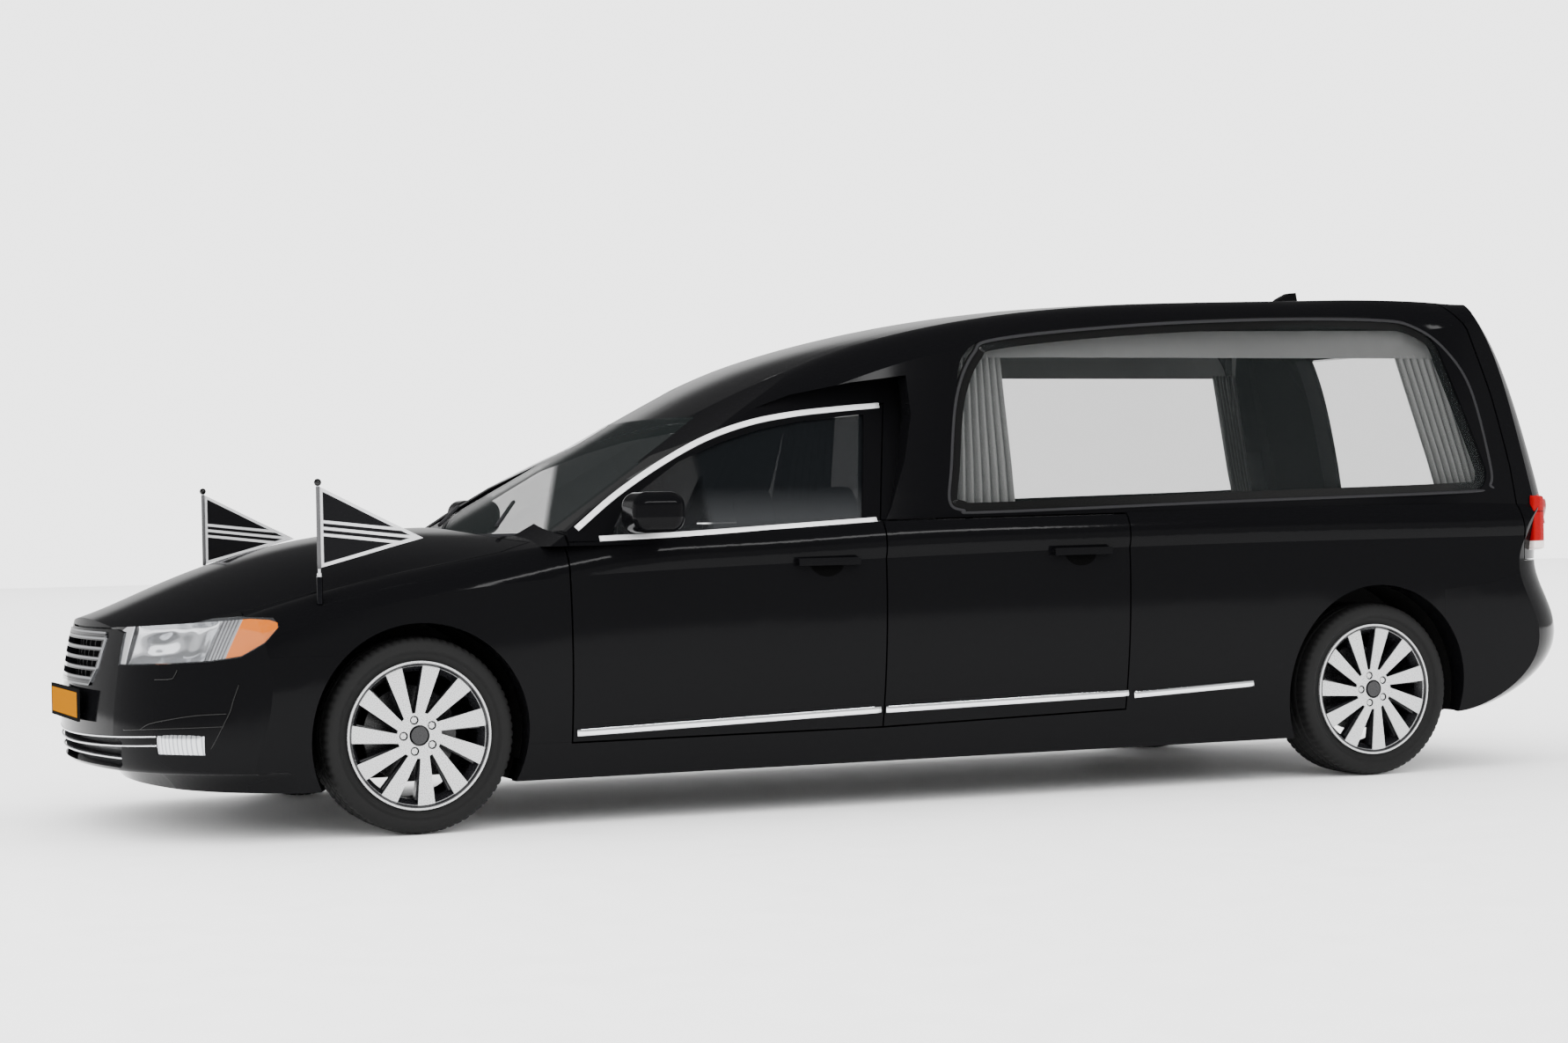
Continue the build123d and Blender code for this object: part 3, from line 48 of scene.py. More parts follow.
# Stations of the body's side: x, then half widths of sill, waist and shoulder, and the shoulder's height
LOWER = np.array([
    (FRONT_X + 0.65, 0.8785, 0.9225, 0.9025, 0.630),
    (FRONT_X + 0.20, 0.8805, 0.9245, 0.9065, 0.745),
    (FRONT_X - 0.25, 0.8825, 0.9275, 0.9145, 0.815),
    (FRONT_X - 0.70, 0.8825, 0.9295, 0.9205, 0.845),
    (FRONT_X - 1.20, 0.8825, 0.9305, 0.9225, 0.860),
    (FRONT_X - 1.80, 0.8825, 0.9305, 0.9225, 0.875),
    (REAR_X + 1.30, 0.8825, 0.9305, 0.9225, 0.887),
    (REAR_X + 0.65, 0.8825, 0.9305, 0.9225, 0.894),
    (REAR_X, 0.8805, 0.9285, 0.9205, 0.896),
    (REAR_X - 0.60, 0.8745, 0.9225, 0.9105, 0.896),
])[::-1]
# Stations of the glazed upper side: x, half widths of foot and top, and the top's height
UPPER = np.array([
    (FRONT_X - 1.60, 0.9005, 0.6905, 1.480),
    (FRONT_X - 1.95, 0.8945, 0.7355, 1.590),
    (FRONT_X - 2.45, 0.8905, 0.7655, 1.667),
    (REAR_X + 0.80, 0.8905, 0.7785, 1.700),
    (REAR_X + 0.15, 0.8905, 0.7825, 1.712),
    (REAR_X - 0.45, 0.8885, 0.7785, 1.712),
    (REAR_X - 1.15, 0.8705, 0.7545, 1.700),
])[::-1]
FOOT_Z = BELT - 0.06
SILL_Z, WAIST_Z = 0.158, 0.56


def lower_y(x, z):
    """Half width of the lower body: the parabola through sill, waist and shoulder at the station, at height z."""
    sill, waist, shoulder, top = (np.interp(x, LOWER[:, 0], LOWER[:, i]) for i in range(1, 5))
    mid = np.minimum(WAIST_Z, (SILL_Z + top) / 2)
    a = sill * (z - mid) * (z - top) / ((SILL_Z - mid) * (SILL_Z - top))
    b = waist * (z - SILL_Z) * (z - top) / ((mid - SILL_Z) * (mid - top))
    c = shoulder * (z - SILL_Z) * (z - mid) / ((top - SILL_Z) * (top - mid))
    return a + b + c


def upper_y(x, z):
    """Half width of the glazed side: a straight lean from the foot to the top of the station, at height z."""
    foot, side, top = (np.interp(x, UPPER[:, 0], UPPER[:, i]) for i in range(1, 4))
    return foot + (side - foot) * (z - FOOT_Z) / (top - FOOT_Z)


def cab_y(z):
    """Half width of the cab's leaning side plane at height z."""
    return HALF - CAB_INSET - CAB_LEAN * (z - BELT)


# Mesh building

def piece(name, points, faces, finish, body, smooth=True, uv=None):
    """Object at the origin made from whole arrays of points and quads, riding on a body."""
    mesh = bpy.data.meshes.new(name)
    mesh.from_pydata(np.asarray(points, float).tolist(), [], [list(face) for face in faces])
    mesh.polygons.foreach_set("use_smooth", np.full(len(mesh.polygons), smooth))
    if uv is not None:
        layer = mesh.uv_layers.new(name="UVMap")
        corners = np.zeros(len(mesh.loops), int)
        mesh.loops.foreach_get("vertex_index", corners)
        layer.data.foreach_set("uv", np.asarray(uv, float)[corners].ravel())
    mesh.materials.append(finish)
    mesh.validate()
    mesh.update()
    thing = bpy.data.objects.new(name, mesh)
    bpy.context.scene.collection.objects.link(thing)
    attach(thing, body)
    return thing


def grid_faces(rows, columns, wrap_rows=False, wrap_columns=False, offset=0):
    """Quads of a rows by columns grid of points, closed round either way where asked."""
    r = np.arange(rows if wrap_rows else rows - 1)
    c = np.arange(columns if wrap_columns else columns - 1)
    i, j = (k.ravel() for k in np.meshgrid(r, c, indexing="ij"))
    i2, j2 = (i + 1) % rows, (j + 1) % columns
    return offset + np.stack([i * columns + j, i * columns + j2, i2 * columns + j2, i2 * columns + j], 1)


def outward(points, faces, centre_line):
    """Faces turned so that they look away from a centre line of the same count of points per row."""
    quad = points[faces]
    normal = np.cross(quad[:, 2] - quad[:, 0], quad[:, 3] - quad[:, 1])
    away = quad.mean(1) - centre_line
    return faces[:, ::-1] if (normal * away).sum() < 0 else faces


def patch(name, surface, centre, look, body, uv=None, wrap=False):
    """Piece from a grid of points, its faces turned away from a centre, closed round along the columns if asked."""
    points = surface.reshape(-1, 3)
    faces = outward(points, grid_faces(*surface.shape[:2], wrap_columns=wrap), np.asarray(centre, float))
    return piece(name, points, faces, look, body, uv=uv)


def rail(name, path, normal, profile, finish, body, smooth=True):
    """Closed profile (out, across) carried along a path: each ring is path + out * normal + across * side,
    where side is tangent x normal; the ends are closed by fans onto their middles."""
    path, normal = np.asarray(path, float), np.asarray(normal, float)
    tangent = np.gradient(path, axis=0)
    tangent /= np.linalg.norm(tangent, axis=1, keepdims=True)
    normal = normal - (normal * tangent).sum(1, keepdims=True) * tangent
    normal /= np.linalg.norm(normal, axis=1, keepdims=True)
    side = np.cross(tangent, normal)
    profile = np.asarray(profile, float)
    rings = path[:, None] + profile[None, :, :1] * normal[:, None] + profile[None, :, 1:] * side[:, None]
    n, m = rings.shape[:2]
    points = rings.reshape(-1, 3)
    faces = grid_faces(n, m, wrap_columns=True)
    middle = np.repeat(rings.mean(1), m, axis=0)[:len(faces)]
    faces = outward(points, faces, middle)
    flipped = not np.array_equal(faces, grid_faces(n, m, wrap_columns=True))
    points = np.vstack([points, rings[0].mean(0), rings[-1].mean(0)])
    k = np.arange(m)
    first = np.stack([np.full(m, n * m), (k + 1) % m, k], 1)
    last = np.stack([np.full(m, n * m + 1), (n - 1) * m + k, (n - 1) * m + (k + 1) % m], 1)
    caps = np.vstack([first, last])
    caps = caps[:, ::-1] if flipped else caps
    return piece(name, points, faces.tolist() + caps.tolist(), finish, body, smooth)


def rounded(half_out, half_across, corner=0.35, count=16, lift=0.0):
    """Superellipse profile with the given half sizes, lifted outwards."""
    t = np.linspace(0, 2 * np.pi, count, endpoint=False)
    c, s = np.cos(t), np.sin(t)
    return np.stack([
        lift + half_out * np.sign(c) * np.abs(c) ** corner,
        half_across * np.sign(s) * np.abs(s) ** corner,
    ], 1)


def along(points, count):
    """A path of evenly spaced points on a Catmull-Rom curve through the given ones."""
    p = np.asarray(points, float)
    p = np.vstack([2 * p[0] - p[1], p, 2 * p[-1] - p[-2]])
    t = np.linspace(0, len(points) - 1 - 1e-9, count)
    k = t.astype(int)
    u = (t - k)[:, None]
    a, b, c, d = p[k], p[k + 1], p[k + 2], p[k + 3]
    return 0.5 * (2 * b + (c - a) * u + (2 * a - 5 * b + 4 * c - d) * u ** 2 + (3 * b - a - 3 * c + d) * u ** 3)


# Shader groups and finishes

def new_group(name, inputs, outputs):
    group = bpy.data.node_groups.new(name, "ShaderNodeTree")
    for label, kind, value in inputs:
        socket = group.interface.new_socket(name=label, in_out="INPUT", socket_type=kind)
        if value is not None:
            socket.default_value = value
    for label, kind in outputs:
        group.interface.new_socket(name=label, in_out="OUTPUT", socket_type=kind)
    return group, group.nodes.new("NodeGroupInput"), group.nodes.new("NodeGroupOutput")


def add_node(tree, kind, **values):
    node = tree.nodes.new(kind)
    for key, value in values.items():
        if key.startswith("in_"):
            node.inputs[int(key[3:])].default_value = value
        else:
            setattr(node, key, value)
    return node


def grain_group():
    """Roughness between two values and a fine relief, both from noise on Object coordinates."""
    group, source, sink = new_group(
        "surface_grain",
        [("Scale", "NodeSocketFloat", 40.0), ("Smooth", "NodeSocketFloat", 0.1), ("Rough", "NodeSocketFloat", 0.2),
         ("Relief", "NodeSocketFloat", 0.05)],
        [("Roughness", "NodeSocketFloat"), ("Normal", "NodeSocketVector")],
    )
    link = group.links.new
    place = group.nodes.new("ShaderNodeTexCoord")
    noise = add_node(group, "ShaderNodeTexNoise")
    noise.inputs["Detail"].default_value = 3.0
    link(place.outputs["Object"], noise.inputs["Vector"])
    link(source.outputs["Scale"], noise.inputs["Scale"])
    spread = add_node(group, "ShaderNodeMapRange")
    spread.inputs["From Min"].default_value = 0.3
    spread.inputs["From Max"].default_value = 0.7
    link(noise.outputs["Fac"], spread.inputs["Value"])
    link(source.outputs["Smooth"], spread.inputs["To Min"])
    link(source.outputs["Rough"], spread.inputs["To Max"])
    bump = add_node(group, "ShaderNodeBump")
    bump.inputs["Distance"].default_value = 0.001
    link(source.outputs["Relief"], bump.inputs["Strength"])
    link(noise.outputs["Fac"], bump.inputs["Height"])
    link(spread.outputs["Result"], sink.inputs["Roughness"])
    link(bump.outputs["Normal"], sink.inputs["Normal"])
    return group


def band_group():
    """Mask of 1 where one coordinate lies between two limits, with soft edges of a given width."""
    group, source, sink = new_group(
        "band_mask",
        [("Value", "NodeSocketFloat", 0.0), ("Low", "NodeSocketFloat", 0.0), ("High", "NodeSocketFloat", 1.0),
         ("Edge", "NodeSocketFloat", 0.001)],
        [("Mask", "NodeSocketFloat")],
    )
    link = group.links.new

    def ramp(first, second):
        gap = add_node(group, "ShaderNodeMath", operation="SUBTRACT")
        link(first, gap.inputs[0])
        link(second, gap.inputs[1])
        share = add_node(group, "ShaderNodeMath", operation="DIVIDE", use_clamp=True)
        link(gap.outputs[0], share.inputs[0])
        link(source.outputs["Edge"], share.inputs[1])
        return share.outputs[0]

    both = add_node(group, "ShaderNodeMath", operation="MULTIPLY")
    link(ramp(source.outputs["Value"], source.outputs["Low"]), both.inputs[0])
    link(ramp(source.outputs["High"], source.outputs["Value"]), both.inputs[1])
    link(both.outputs[0], sink.inputs["Mask"])
    return group


GRAIN, BAND = grain_group(), band_group()


def finish(name, colour, metallic=0.0, grain=(40.0, 0.1, 0.2, 0.05), alpha=1.0, **sockets):
    """Principled finish with its constant values on the shader and a grain for roughness and relief."""
    made = bpy.data.materials.new(name)
    made.use_nodes = True
    shader = made.node_tree.nodes["Principled BSDF"]
    shader.inputs["Base Color"].default_value = (*colour, 1)
    shader.inputs["Metallic"].default_value = metallic
    shader.inputs["Alpha"].default_value = alpha
    for key, value in sockets.items():
        shader.inputs[key.replace("_", " ")].default_value = value
    if grain:
        texture = made.node_tree.nodes.new("ShaderNodeGroup")
        texture.node_tree = GRAIN
        for key, value in zip(("Scale", "Smooth", "Rough", "Relief"), grain):
            texture.inputs[key].default_value = value
        made.node_tree.links.new(texture.outputs["Roughness"], shader.inputs["Roughness"])
        made.node_tree.links.new(texture.outputs["Normal"], shader.inputs["Normal"])
    return made


def coordinates(made):
    """Separated Object coordinates of a finish."""
    place = made.node_tree.nodes.new("ShaderNodeTexCoord")
    split = made.node_tree.nodes.new("ShaderNodeSeparateXYZ")
    made.node_tree.links.new(place.outputs["Object"], split.inputs[0])
    return split.outputs


def own_map(made):
    """Separated coordinates of a piece's own UV map."""
    uv = made.node_tree.nodes.new("ShaderNodeUVMap")
    uv.uv_map = "UVMap"
    split = made.node_tree.nodes.new("ShaderNodeSeparateXYZ")
    made.node_tree.links.new(uv.outputs["UV"], split.inputs[0])
    return split.outputs


def calculate(made, operation, first, second=None, clamp=False):
    """One Math node on sockets or numbers."""
    node = made.node_tree.nodes.new("ShaderNodeMath")
    node.operation = operation
    node.use_clamp = clamp
    for socket, value in zip(node.inputs, (first, second)):
        if value is None:
            continue
        if isinstance(value, (int, float)):
            socket.default_value = value
        else:
            made.node_tree.links.new(value, socket)
    return node.outputs[0]


def band(made, value, low, high, edge):
    """Mask from the shared band group."""
    node = made.node_tree.nodes.new("ShaderNodeGroup")
    node.node_tree = BAND
    made.node_tree.links.new(value, node.inputs["Value"])
    for key, number in (("Low", low), ("High", high), ("Edge", edge)):
        node.inputs[key].default_value = number
    return node.outputs["Mask"]


def tint(made, mask, below, above, socket="Base Color"):
    """Feeds a shader socket with a mix of two colours, sockets or numbers by a mask."""
    shader = made.node_tree.nodes["Principled BSDF"]
    mix = made.node_tree.nodes.new("ShaderNodeMix")
    colour = socket in ("Base Color", "Emission Color")
    mix.data_type = "RGBA" if colour else "FLOAT"
    kind = "RGBA" if colour else "VALUE"
    ends = [s for s in mix.inputs if s.type == kind and s.name in ("A", "B")]
    made.node_tree.links.new(mask, mix.inputs[0])
    for target, value in zip(ends, (below, above)):
        if hasattr(value, "links"):
            made.node_tree.links.new(value, target)
        else:
            target.default_value = (*value, 1) if colour else value
    result = [s for s in mix.outputs if s.type == kind][0]
    made.node_tree.links.new(result, shader.inputs[socket])
    return result


paint = finish("black_lacquer", (0.0022, 0.0022, 0.0025), grain=(900.0, 0.07, 0.12, 0.010), Specular_IOR_Level=0.055)
gloss_black = finish("gloss_black", (0.004, 0.004, 0.004), grain=(600.0, 0.05, 0.10, 0.01), Specular_IOR_Level=0.25)
dark_plastic = finish("grained_plastic", (0.008, 0.008, 0.009), grain=(1400.0, 0.45, 0.62, 0.25),
                      Specular_IOR_Level=0.2)
under_coat = finish("under_coating", (0.006, 0.006, 0.006), grain=(260.0, 0.6, 0.85, 0.4), Specular_IOR_Level=0.1)
chrome = finish("bright_chrome", (0.80, 0.81, 0.83), metallic=1.0, grain=(120.0, 0.05, 0.11, 0.01))
satin_trim = finish("satin_trim", (0.66, 0.66, 0.67), metallic=0.25, grain=(200.0, 0.26, 0.36, 0.02))
cast_iron = finish("cast_iron", (0.10, 0.10, 0.10), metallic=0.6, grain=(500.0, 0.5, 0.75, 0.4))
glass = finish("tinted_glass", (0.012, 0.014, 0.014), alpha=0.22, grain=(3.0, 0.0, 0.015, 0.0), Specular_IOR_Level=0.2)
screen_glass = finish("screen_glass", (0.008, 0.010, 0.010), alpha=0.42, grain=(3.0, 0.0, 0.015, 0.0),
                      Specular_IOR_Level=0.2)
clear_lens = finish("clear_lens", (0.5, 0.52, 0.54), alpha=0.03, grain=(30.0, 0.01, 0.04, 0.02),
                    Specular_IOR_Level=0.03)
rubber = finish("tyre_rubber", (0.006, 0.006, 0.006), grain=(700.0, 0.55, 0.8, 0.25), Specular_IOR_Level=0.12)
hide = finish("dark_leather", (0.012, 0.0115, 0.011), grain=(420.0, 0.38, 0.55, 0.35), Specular_IOR_Level=0.2)
wood = finish("varnished_deck", (0.05, 0.028, 0.016), grain=(220.0, 0.15, 0.3, 0.05))
lining = finish("grey_lining", (0.05, 0.05, 0.052), grain=(1800.0, 0.8, 0.95, 0.4))


def wheel_finish(name, centre_x):
    """Machined silver on the spokes' faces and the rim's edge, black in the pockets and on the cap:
    masks of the distance out from the middle plane and of the radius from the wheel's axis."""
    made = finish(name, (0.6, 0.6, 0.6), grain=(300.0, 0.22, 0.34, 0.06))
    x, y, z = coordinates(made)
    out = calculate(made, "ABSOLUTE", y)
    dx = calculate(made, "SUBTRACT", x, centre_x)
    dz = calculate(made, "SUBTRACT", z, TYRE_R)
    radius = calculate(made, "SQRT", calculate(
        made, "ADD", calculate(made, "MULTIPLY", dx, dx), calculate(made, "MULTIPLY", dz, dz)))
    face = calculate(made, "MULTIPLY", band(made, out, WHEEL_Y + 0.0952, WHEEL_Y + 0.2, 0.0006),
                     band(made, radius, 0.034, RIM_R - 0.0150, 0.001))
    lip = calculate(made, "MULTIPLY", band(made, radius, RIM_R - 0.007, RIM_R + 0.01, 0.001),
                    band(made, out, WHEEL_Y + 0.08, WHEEL_Y + 0.2, 0.004))
    cap = band(made, radius, -0.01, 0.027, 0.001)
    open_face = calculate(made, "MULTIPLY", face, calculate(made, "SUBTRACT", 1.0, cap))
    bright = calculate(made, "MAXIMUM", open_face, lip)
    tint(made, bright, (0.006, 0.006, 0.007), (0.50, 0.505, 0.51))
    tint(made, bright, 0.0, 0.7, "Metallic")
    return made


wheel_front = wheel_finish("machined_rim_front", FRONT_X)
wheel_rear = wheel_finish("machined_rim_rear", REAR_X)


def door_glass_finish():
    """Dark tint that clears towards the front corner and greys towards the belt, from place along and height."""
    made = finish("door_glass", (0.006, 0.007, 0.008), alpha=0.86, grain=(3.0, 0.0, 0.015, 0.0), Specular_IOR_Level=0.2)
    x, y, z = coordinates(made)
    tint(made, band(made, z, -1.0, BELT + 0.13, 0.11), (0.003, 0.0035, 0.004), (0.020, 0.021, 0.022))
    tint(made, band(made, x, FRONT_X - 1.075, 9.0, 0.03), 0.88, 0.24, "Alpha")
    return made


door_glass = door_glass_finish()


def fog_lens_finish():
    """Bright reflector under a ribbed lens: upright ribs as a sine of the width."""
    made = finish("fog_lens", (0.7, 0.7, 0.7), metallic=0.9, grain=(60.0, 0.08, 0.2, 0.02))
    x, y, z = coordinates(made)
    rib = calculate(made, "SINE", calculate(made, "MULTIPLY", y, 520.0))
    tint(made, calculate(made, "GREATER_THAN", rib, 0.55), (0.60, 0.61, 0.63), (0.30, 0.31, 0.33))
    return made


fog_lens = fog_lens_finish()


def pole_finish():
    """Bright rod above a black socket, from the height."""
    made = finish("flag_pole", (0.8, 0.8, 0.8), metallic=1.0, grain=(120.0, 0.06, 0.14, 0.01))
    x, y, z = coordinates(made)
    tint(made, band(made, z, 0.0, 0.859, 0.001), (0.80, 0.81, 0.83), (0.006, 0.006, 0.007))
    return made


def tail_lamp_finish():
    """Red lens with a clear foot and a darker red line, from the height."""
    made = finish("tail_lamp_lens", (0.3, 0.01, 0.01), grain=(80.0, 0.10, 0.20, 0.02), Specular_IOR_Level=0.01)
    x, y, z = coordinates(made)
    foot = band(made, z, 0.80, 0.875, 0.003)
    dark = band(made, z, 0.985, 0.992, 0.002)
    base = tint(made, dark, (0.20, 0.0012, 0.003), (0.06, 0.001, 0.002))
    tint(made, foot, base, (0.62, 0.56, 0.54))
    return made


def plate_finish():
    """Blank yellow plate with a thin dark border, from distances to its edges."""
    made = finish("blank_plate", (0.8, 0.5, 0.03), grain=(300.0, 0.3, 0.42, 0.08), Specular_IOR_Level=0.0)
    x, y, z = coordinates(made)
    side = calculate(made, "ABSOLUTE", y)
    inside = band(made, side, -1.0, 0.246, 0.001)
    front = band(made, z, 0.394, 0.480, 0.001)
    rear = band(made, z, 0.858, 0.952, 0.001)
    faces = calculate(made, "MAXIMUM", band(made, x, FRONT_X + 1.0070, 9.0, 0.0003),
                      band(made, x, -9.0, REAR_X - 1.0373, 0.0003))
    field = calculate(made, "MULTIPLY", calculate(made, "MULTIPLY", inside, faces),
                      calculate(made, "MAXIMUM", front, rear))
    tint(made, field, (0.006, 0.006, 0.006), (0.23, 0.083, 0.0006))
    return made


def head_lamp_finish():
    """Lamp bowl: a pale panel, a dark slanted divider, the reflector, fine ribs and an amber rear corner, all from
    the place along the bowl's own UV map, slanted with its height; black inside a parabola at the inner upper
    corner."""
    made = finish("lamp_bowl", (0.6, 0.6, 0.6), grain=(90.0, 0.10, 0.24, 0.05))
    along_u, up_v = own_map(made)[:2]
    slant = calculate(made, "SUBTRACT", along_u, calculate(made, "MULTIPLY", up_v, LAMP_SLANT))
    rib = calculate(made, "SINE", calculate(made, "MULTIPLY", slant, 330.0))
    fine = calculate(made, "MULTIPLY", band(made, slant, 0.60, 0.72, 0.01), calculate(made, "GREATER_THAN", rib, 0.1))
    pale = tint(made, band(made, slant, -0.3, 0.135, 0.004), (0.50, 0.51, 0.53), (0.22, 0.22, 0.225))
    ribbed = tint(made, fine, pale, (0.20, 0.20, 0.21))
    bowl = tint(made, band(made, slant, 0.135, 0.160, 0.003), ribbed, (0.008, 0.008, 0.009))
    amber = band(made, slant, 0.726, 1.1, 0.004)
    lit = tint(made, amber, bowl, (0.33, 0.075, 0.001))
    rise = calculate(made, "MULTIPLY", calculate(made, "MULTIPLY", up_v, up_v), LAMP_CORNER)
    corner = band(made, calculate(made, "SUBTRACT", rise, along_u), 0.0, 9.0, 0.004)
    tint(made, corner, lit, (0.003, 0.003, 0.003))
    tint(made, calculate(made, "MAXIMUM", amber, band(made, slant, -0.3, 0.16, 0.004)), 0.9, 0.0, "Metallic")
    return made


def grille_finish():
    """Bright upper edges on the bars and a bright outer edge on the frame, black between: masks of the height, and of
    the distance in from the frame's slanted sides."""
    made = finish("grille_chrome", (0.8, 0.8, 0.8), grain=(120.0, 0.05, 0.11, 0.01))
    x, y, z = coordinates(made)
    wide = calculate(made, "ABSOLUTE", y)
    upper = calculate(made, "MULTIPLY_ADD", z, 0.3365)
    made.node_tree.nodes[-1].inputs[2].default_value = 0.310 - 0.3365 * 0.560
    lower = calculate(made, "MULTIPLY_ADD", z, 1.034)
    made.node_tree.nodes[-1].inputs[2].default_value = 0.250 - 1.034 * 0.502
    inset = calculate(made, "SUBTRACT", calculate(made, "MINIMUM", upper, lower), wide)
    bright = band(made, inset, -0.05, 0.006, 0.0012)
    for low, high in [(0.678, 0.70), (0.49, 0.508)] + [
            (GRILLE_LOW + GRILLE_STEP * (k + 0.7) - 0.0020, GRILLE_LOW + GRILLE_STEP * (k + 0.7) + 0.0045)
            for k in range(5)]:
        bright = calculate(made, "MAXIMUM", bright, band(made, z, low, high, 0.0008))
    tint(made, bright, (0.004, 0.004, 0.005), (0.46, 0.47, 0.49))
    tint(made, bright, 0.0, 1.0, "Metallic")
    return made


GRILLE_LOW, GRILLE_STEP = 0.502, 0.182 / 5.4
LAMP_CORNER, LAMP_SLANT = 0.19, 0.10
LOOKS = {
    "bonnet": paint, "roof": paint, "tailgate": paint, "rear_bumper": paint, "front_bumper": paint,
    "cowl": dark_plastic, "floor_pan": under_coat, "windscreen": screen_glass, "tailgate_glass": glass,
    "tail_lamps": tail_lamp_finish(), "fog_lamps": fog_lens, "grille": grille_finish(), "grille_back": dark_plastic,
    "lower_grille": dark_plastic, "front_plate": plate_finish(), "front_suspension": under_coat,
    "rear_axle": under_coat, "engine": cast_iron, "wheel_liners": under_coat, "flag_poles": pole_finish(),
    "bulkhead": under_coat, "partition": lining, "deck": wood, "dashboard": dark_plastic,
    "steering_wheel": dark_plastic, "exhaust": cast_iron,
}
LOOKS["rear_plate"] = LOOKS["front_plate"]
lamp_bowl = head_lamp_finish()
PAIRS = {
    "fender": paint, "front_door": paint, "rear_door": paint, "body_side": paint, "front_door_glass": door_glass,
    "side_glass": glass, "head_lamp": clear_lens, "door_mirror": paint, "knuckle": cast_iron,
    "rim_front": wheel_front, "rim_rear": wheel_rear, "tyre_front": rubber, "tyre_rear": rubber,
    "flag": rubber, "curtains": lining, "front_seat": hide,
}
LOOKS.update({f"{name}_{side}": look for name, look in PAIRS.items() for side in ("left", "right")})
for name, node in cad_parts.items():
    node.data.materials.clear()
    node.data.materials.append(LOOKS[name])

# Bright trim on doors and sides, as points (x from the front axle, z)

WINDOW_TRIM = [(-0.565, 0.997), (-0.733, 1.111), (-0.920, 1.216), (-1.105, 1.301), (-1.287, 1.357),
               (-1.465, 1.388), (-1.643, 1.406), (-1.815, 1.419)]
BELT_TRIM = [(-0.640, 0.962), (-0.975, 0.972), (-1.350, 0.990), (-1.690, 1.007)]
SILL_TRIM = [
    ("front_door", (-0.540, 0.313), (-1.669, 0.343)),
    ("rear_door", (-1.690, 0.342), (-2.668, 0.360)),
    ("body", (-2.694, 0.352), (-3.202, 0.374)),
]
for side, sign in SIDES:
    for name, outline, width in (("window_trim", WINDOW_TRIM, 0.0105), ("belt_trim", BELT_TRIM, 0.0095)):
        flat = along(outline, 60)
        path = np.stack([FRONT_X + flat[:, 0], sign * cab_y(flat[:, 1]), flat[:, 1]], 1)
        normal = np.tile((0, sign, CAB_LEAN), (len(path), 1))
        rail(f"{name}_{side}", path, normal, rounded(0.004, width, lift=0.001), satin_trim, f"front_door_{side}")
    for body, start, end in SILL_TRIM:
        flat = np.linspace(start, end, 40)
        x = FRONT_X + flat[:, 0]
        path = np.stack([x, sign * lower_y(x, flat[:, 1]), flat[:, 1]], 1)
        taper = np.tile((0, sign, 0.0), (len(path), 1))
        rider = body if body == "body" else f"{body}_{side}"
        rail(f"sill_trim_{body}_{side}", path, taper, rounded(0.007, 0.013, 0.5, lift=0.002), chrome, rider)

# Painted shade for the recesses behind the door handles: near-black oval patches on the doors' skin
HANDLES = {"front_door": (FRONT_X - 1.472, BELT - 0.134), "rear_door": (FRONT_X - 2.481, BELT - 0.120)}
BOWL_HALF_X, BOWL_HALF_Z, BOWL_PROUD = 0.066, 0.052, 0.0009
# near-black, rough and barely reflecting: painted shade standing in for the handle recess
bowl_shade = finish("handle_bowl_shade", (0.0006, 0.0006, 0.0006), grain=(200.0, 0.5, 0.6, 0.05), Specular_IOR_Level=0.02)


def handle_bowl_shade(centre_x, centre_z, sign):
    """Oval patch of painted shade on the door's skin: rings of shrinking radius, each lifted off the skin by a hair."""
    ring = np.linspace(0, 1, 12)[:, None]
    turn = np.linspace(0, 2 * np.pi, 48, endpoint=False)[None, :]
    x = centre_x + BOWL_HALF_X * ring * np.cos(turn)
    z = centre_z + BOWL_HALF_Z * ring * np.sin(turn)
    return np.stack([x, sign * (lower_y(x, z) + BOWL_PROUD), z], -1)


for side, sign in SIDES:
    for door, (centre_x, centre_z) in HANDLES.items():
        surface = handle_bowl_shade(centre_x, centre_z, sign)
        patch(f"handle_bowl_shade_{door}_{side}", surface, (centre_x, 0, centre_z), bowl_shade, f"{door}_{side}", wrap=True)

# Nose: reflector bowls behind the lamp lenses and bright bars in the lower grille
NOSE_Z = np.array([0.23, 0.39, 0.55, 0.72, 0.90])
NOSE_X = FRONT_X + np.array([0.968, 0.990, 0.972, 0.936, 0.880])


def arc_centre(a, b, c):
    """Centre and radius of the circle through three points of the plan."""
    m = 2 * np.array([[b[0] - a[0], b[1] - a[1]], [c[0] - a[0], c[1] - a[1]]])
    k = np.array([np.dot(b, b) - np.dot(a, a), np.dot(c, c) - np.dot(a, a)])
    centre = np.linalg.solve(m, k)
    return centre, np.linalg.norm(centre - a)


NOSE_CURVE = np.polyfit(NOSE_Z, NOSE_X, 4)
MIDDLE_ARC = arc_centre(np.array([-0.060, -0.48]), np.array([0.0, 0.0]), np.array([-0.060, 0.48]))
OUTER_ARC = arc_centre(np.array([-0.060, 0.48]), np.array([-0.235, 0.77]), np.array([-0.640, 0.96]))


def nose_x(y, z):
    """Forward reach of the nose: the height's foremost x less the plan arc's setback at the width y."""
    wide = np.abs(y)
    centre, radius = MIDDLE_ARC
    near = centre[0] + np.sqrt(np.maximum(radius ** 2 - (wide - centre[1]) ** 2, 0))
    centre, radius = OUTER_ARC
    far = centre[0] + np.sqrt(np.maximum(radius ** 2 - (wide - centre[1]) ** 2, 0))
    return np.polyval(NOSE_CURVE, z) + np.where(wide < 0.48, near, far)


